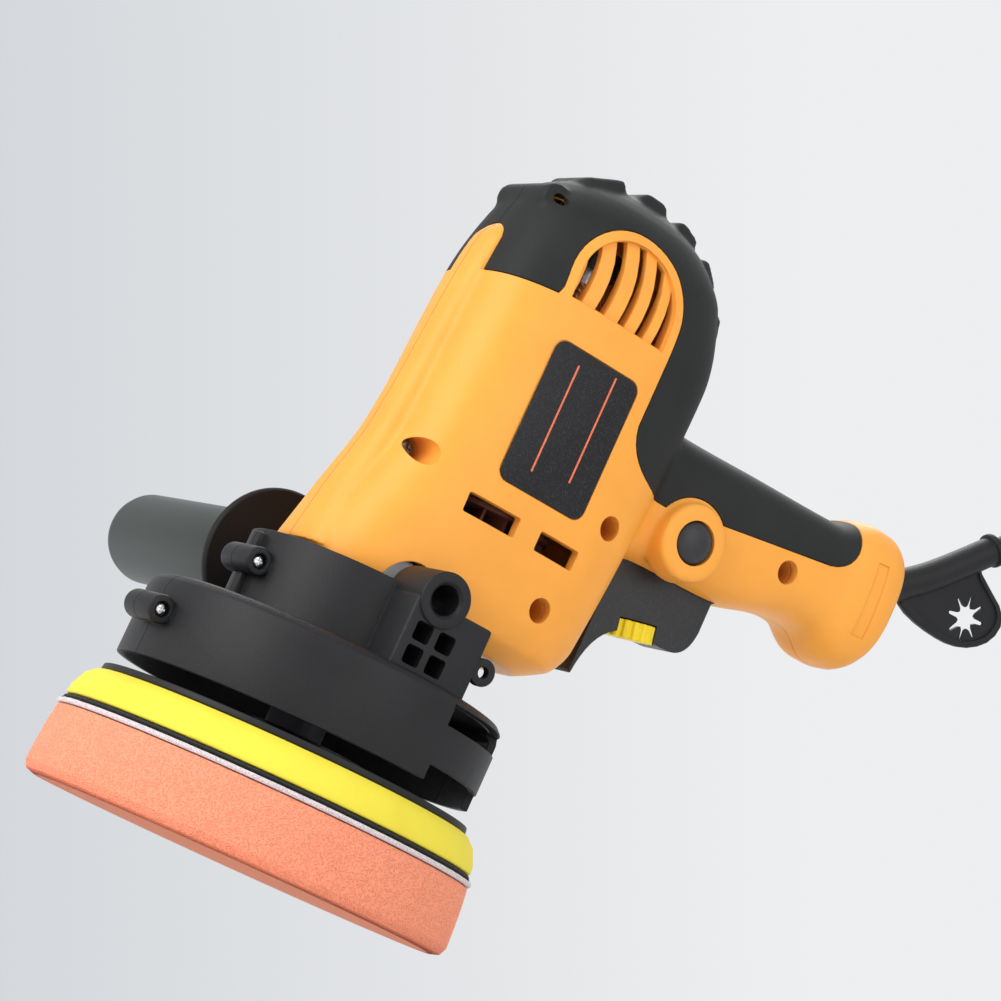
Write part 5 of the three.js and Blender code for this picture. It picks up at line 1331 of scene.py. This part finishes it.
plug = finished(plug_shape(), lead_rubber, "housing", "plug_body", slot="cord_rubber")
plug.name = "plug_moulding"
for node in ("plug_pin_a", "plug_pin_b"):
    low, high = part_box(node)
    middle = (low + high) / 2
    radius = (high.y - low.y) / 2
    pin = turned(node + "_brass", [
        (0, low.x), (radius * 0.6, low.x + 0.15 * MM), (radius, low.x + 1.6 * MM),
        (radius, high.x + 0.3 * MM),
        (0, high.x + 0.3 * MM)], axis="X", place=(0, middle.y, middle.z), steps=32, soft=0.2 * MM)
    finished(pin, brass, "housing", node, slot="brass")


# ---------------------------------------------------------------- floor, backdrop and light
# A plain pale floor that shows only from above, and soft lamps on both sides.

FLOOR_REACH = 3
FLOOR_HOLE = 0.07                   # under the pad, where the floor would darken its face
FLOOR_SIDES = 64
turns = [2 * math.pi * i / FLOOR_SIDES for i in range(FLOOR_SIDES)]
rims = [(reach * math.cos(turn), reach * math.sin(turn), -0.6 * MM) for reach in (FLOOR_HOLE, FLOOR_REACH)
        for turn in turns]
floor = new_piece("floor", rims, faces=[
    (i, FLOOR_SIDES + i, FLOOR_SIDES + (i + 1) % FLOOR_SIDES,
     (i + 1) % FLOOR_SIDES) for i in range(FLOOR_SIDES)])
floor_paint = Finish("floor_paint", (0.80, 0.81, 0.82), 0.9)
seen_from_below = floor_paint.node("ShaderNodeNewGeometry", output="Backfacing")
clear = floor_paint.node("ShaderNodeBsdfTransparent")
paint = Shade(floor_paint, floor_paint.shader.outputs[0])
mixed = floor_paint.node("ShaderNodeMixShader", {}, {0: seen_from_below, 1: paint, 2: clear})
floor_paint.links.new(mixed.socket, floor_paint.nodes["Material Output"].inputs["Surface"])
floor.data.materials.append(floor_paint.material)

middle = Vector((0.07, 0, 0.13))


def lamp(name, right, up, back, size, power):
    """A square soft lamp, placed by the camera's own right, up and backward directions."""
    data = bpy.data.lights.new(name, "AREA")
    data.shape = "SQUARE"
    data.size = size
    data.energy = power
    lamp_object = bpy.data.objects.new(name, data)
    scene.collection.objects.link(lamp_object)
    place = middle + image_right * right + image_up * up - forward * back
    aim = (middle - place).to_track_quat("-Z", "Y").to_matrix().to_4x4()
    lamp_object.matrix_world = Matrix.Translation(place) @ aim


lamp("key", -0.85, 1.15, 0.8, 1.3, 19)
lamp("fill", 0.9, 0.35, 0.9, 1.1, 5)
lamp("back", 0.3, 0.9, -1.1, 0.9, 9)

# The world lights evenly; the camera sees it as a backdrop with a painted falloff of light, paler towards
# the right.
world = bpy.data.worlds.new("studio")
scene.world = world
world.use_nodes = True
tree = world.node_tree
ambient = tree.nodes["Background"]
ambient.inputs["Color"].default_value = (0.86, 0.87, 0.89, 1)
ambient.inputs["Strength"].default_value = 0.85
where = tree.nodes.new("ShaderNodeTexCoord")
across = tree.nodes.new("ShaderNodeVectorMath")
across.operation = "DOT_PRODUCT"
across.inputs[1].default_value = image_right
share = tree.nodes.new("ShaderNodeMapRange")
share.inputs["From Min"].default_value = -0.17
share.inputs["From Max"].default_value = 0.10
# Painted light: the backdrop's two colours give the falloff of light across it, paler to the right.
backdrop_light_falloff = tree.nodes.new("ShaderNodeMix")
backdrop_light_falloff.data_type = "RGBA"
backdrop_light_falloff.inputs[6].default_value = (0.66, 0.68, 0.71, 1)
backdrop_light_falloff.inputs[7].default_value = (0.85, 0.86, 0.87, 1)
backdrop = tree.nodes.new("ShaderNodeBackground")
rays = tree.nodes.new("ShaderNodeLightPath")
either = tree.nodes.new("ShaderNodeMixShader")
for start, end in ((where.outputs["Generated"], across.inputs[0]),
                   (across.outputs["Value"], share.inputs["Value"]),
                   (share.outputs["Result"], backdrop_light_falloff.inputs[0]), (backdrop_light_falloff.outputs[2], backdrop.inputs["Color"]),
                   (rays.outputs["Is Camera Ray"], either.inputs[0]), (ambient.outputs[0], either.inputs[1]),
                   (backdrop.outputs[0], either.inputs[2]),
                   (either.outputs[0], tree.nodes["World Output"].inputs["Surface"])):
    tree.links.new(start, end)
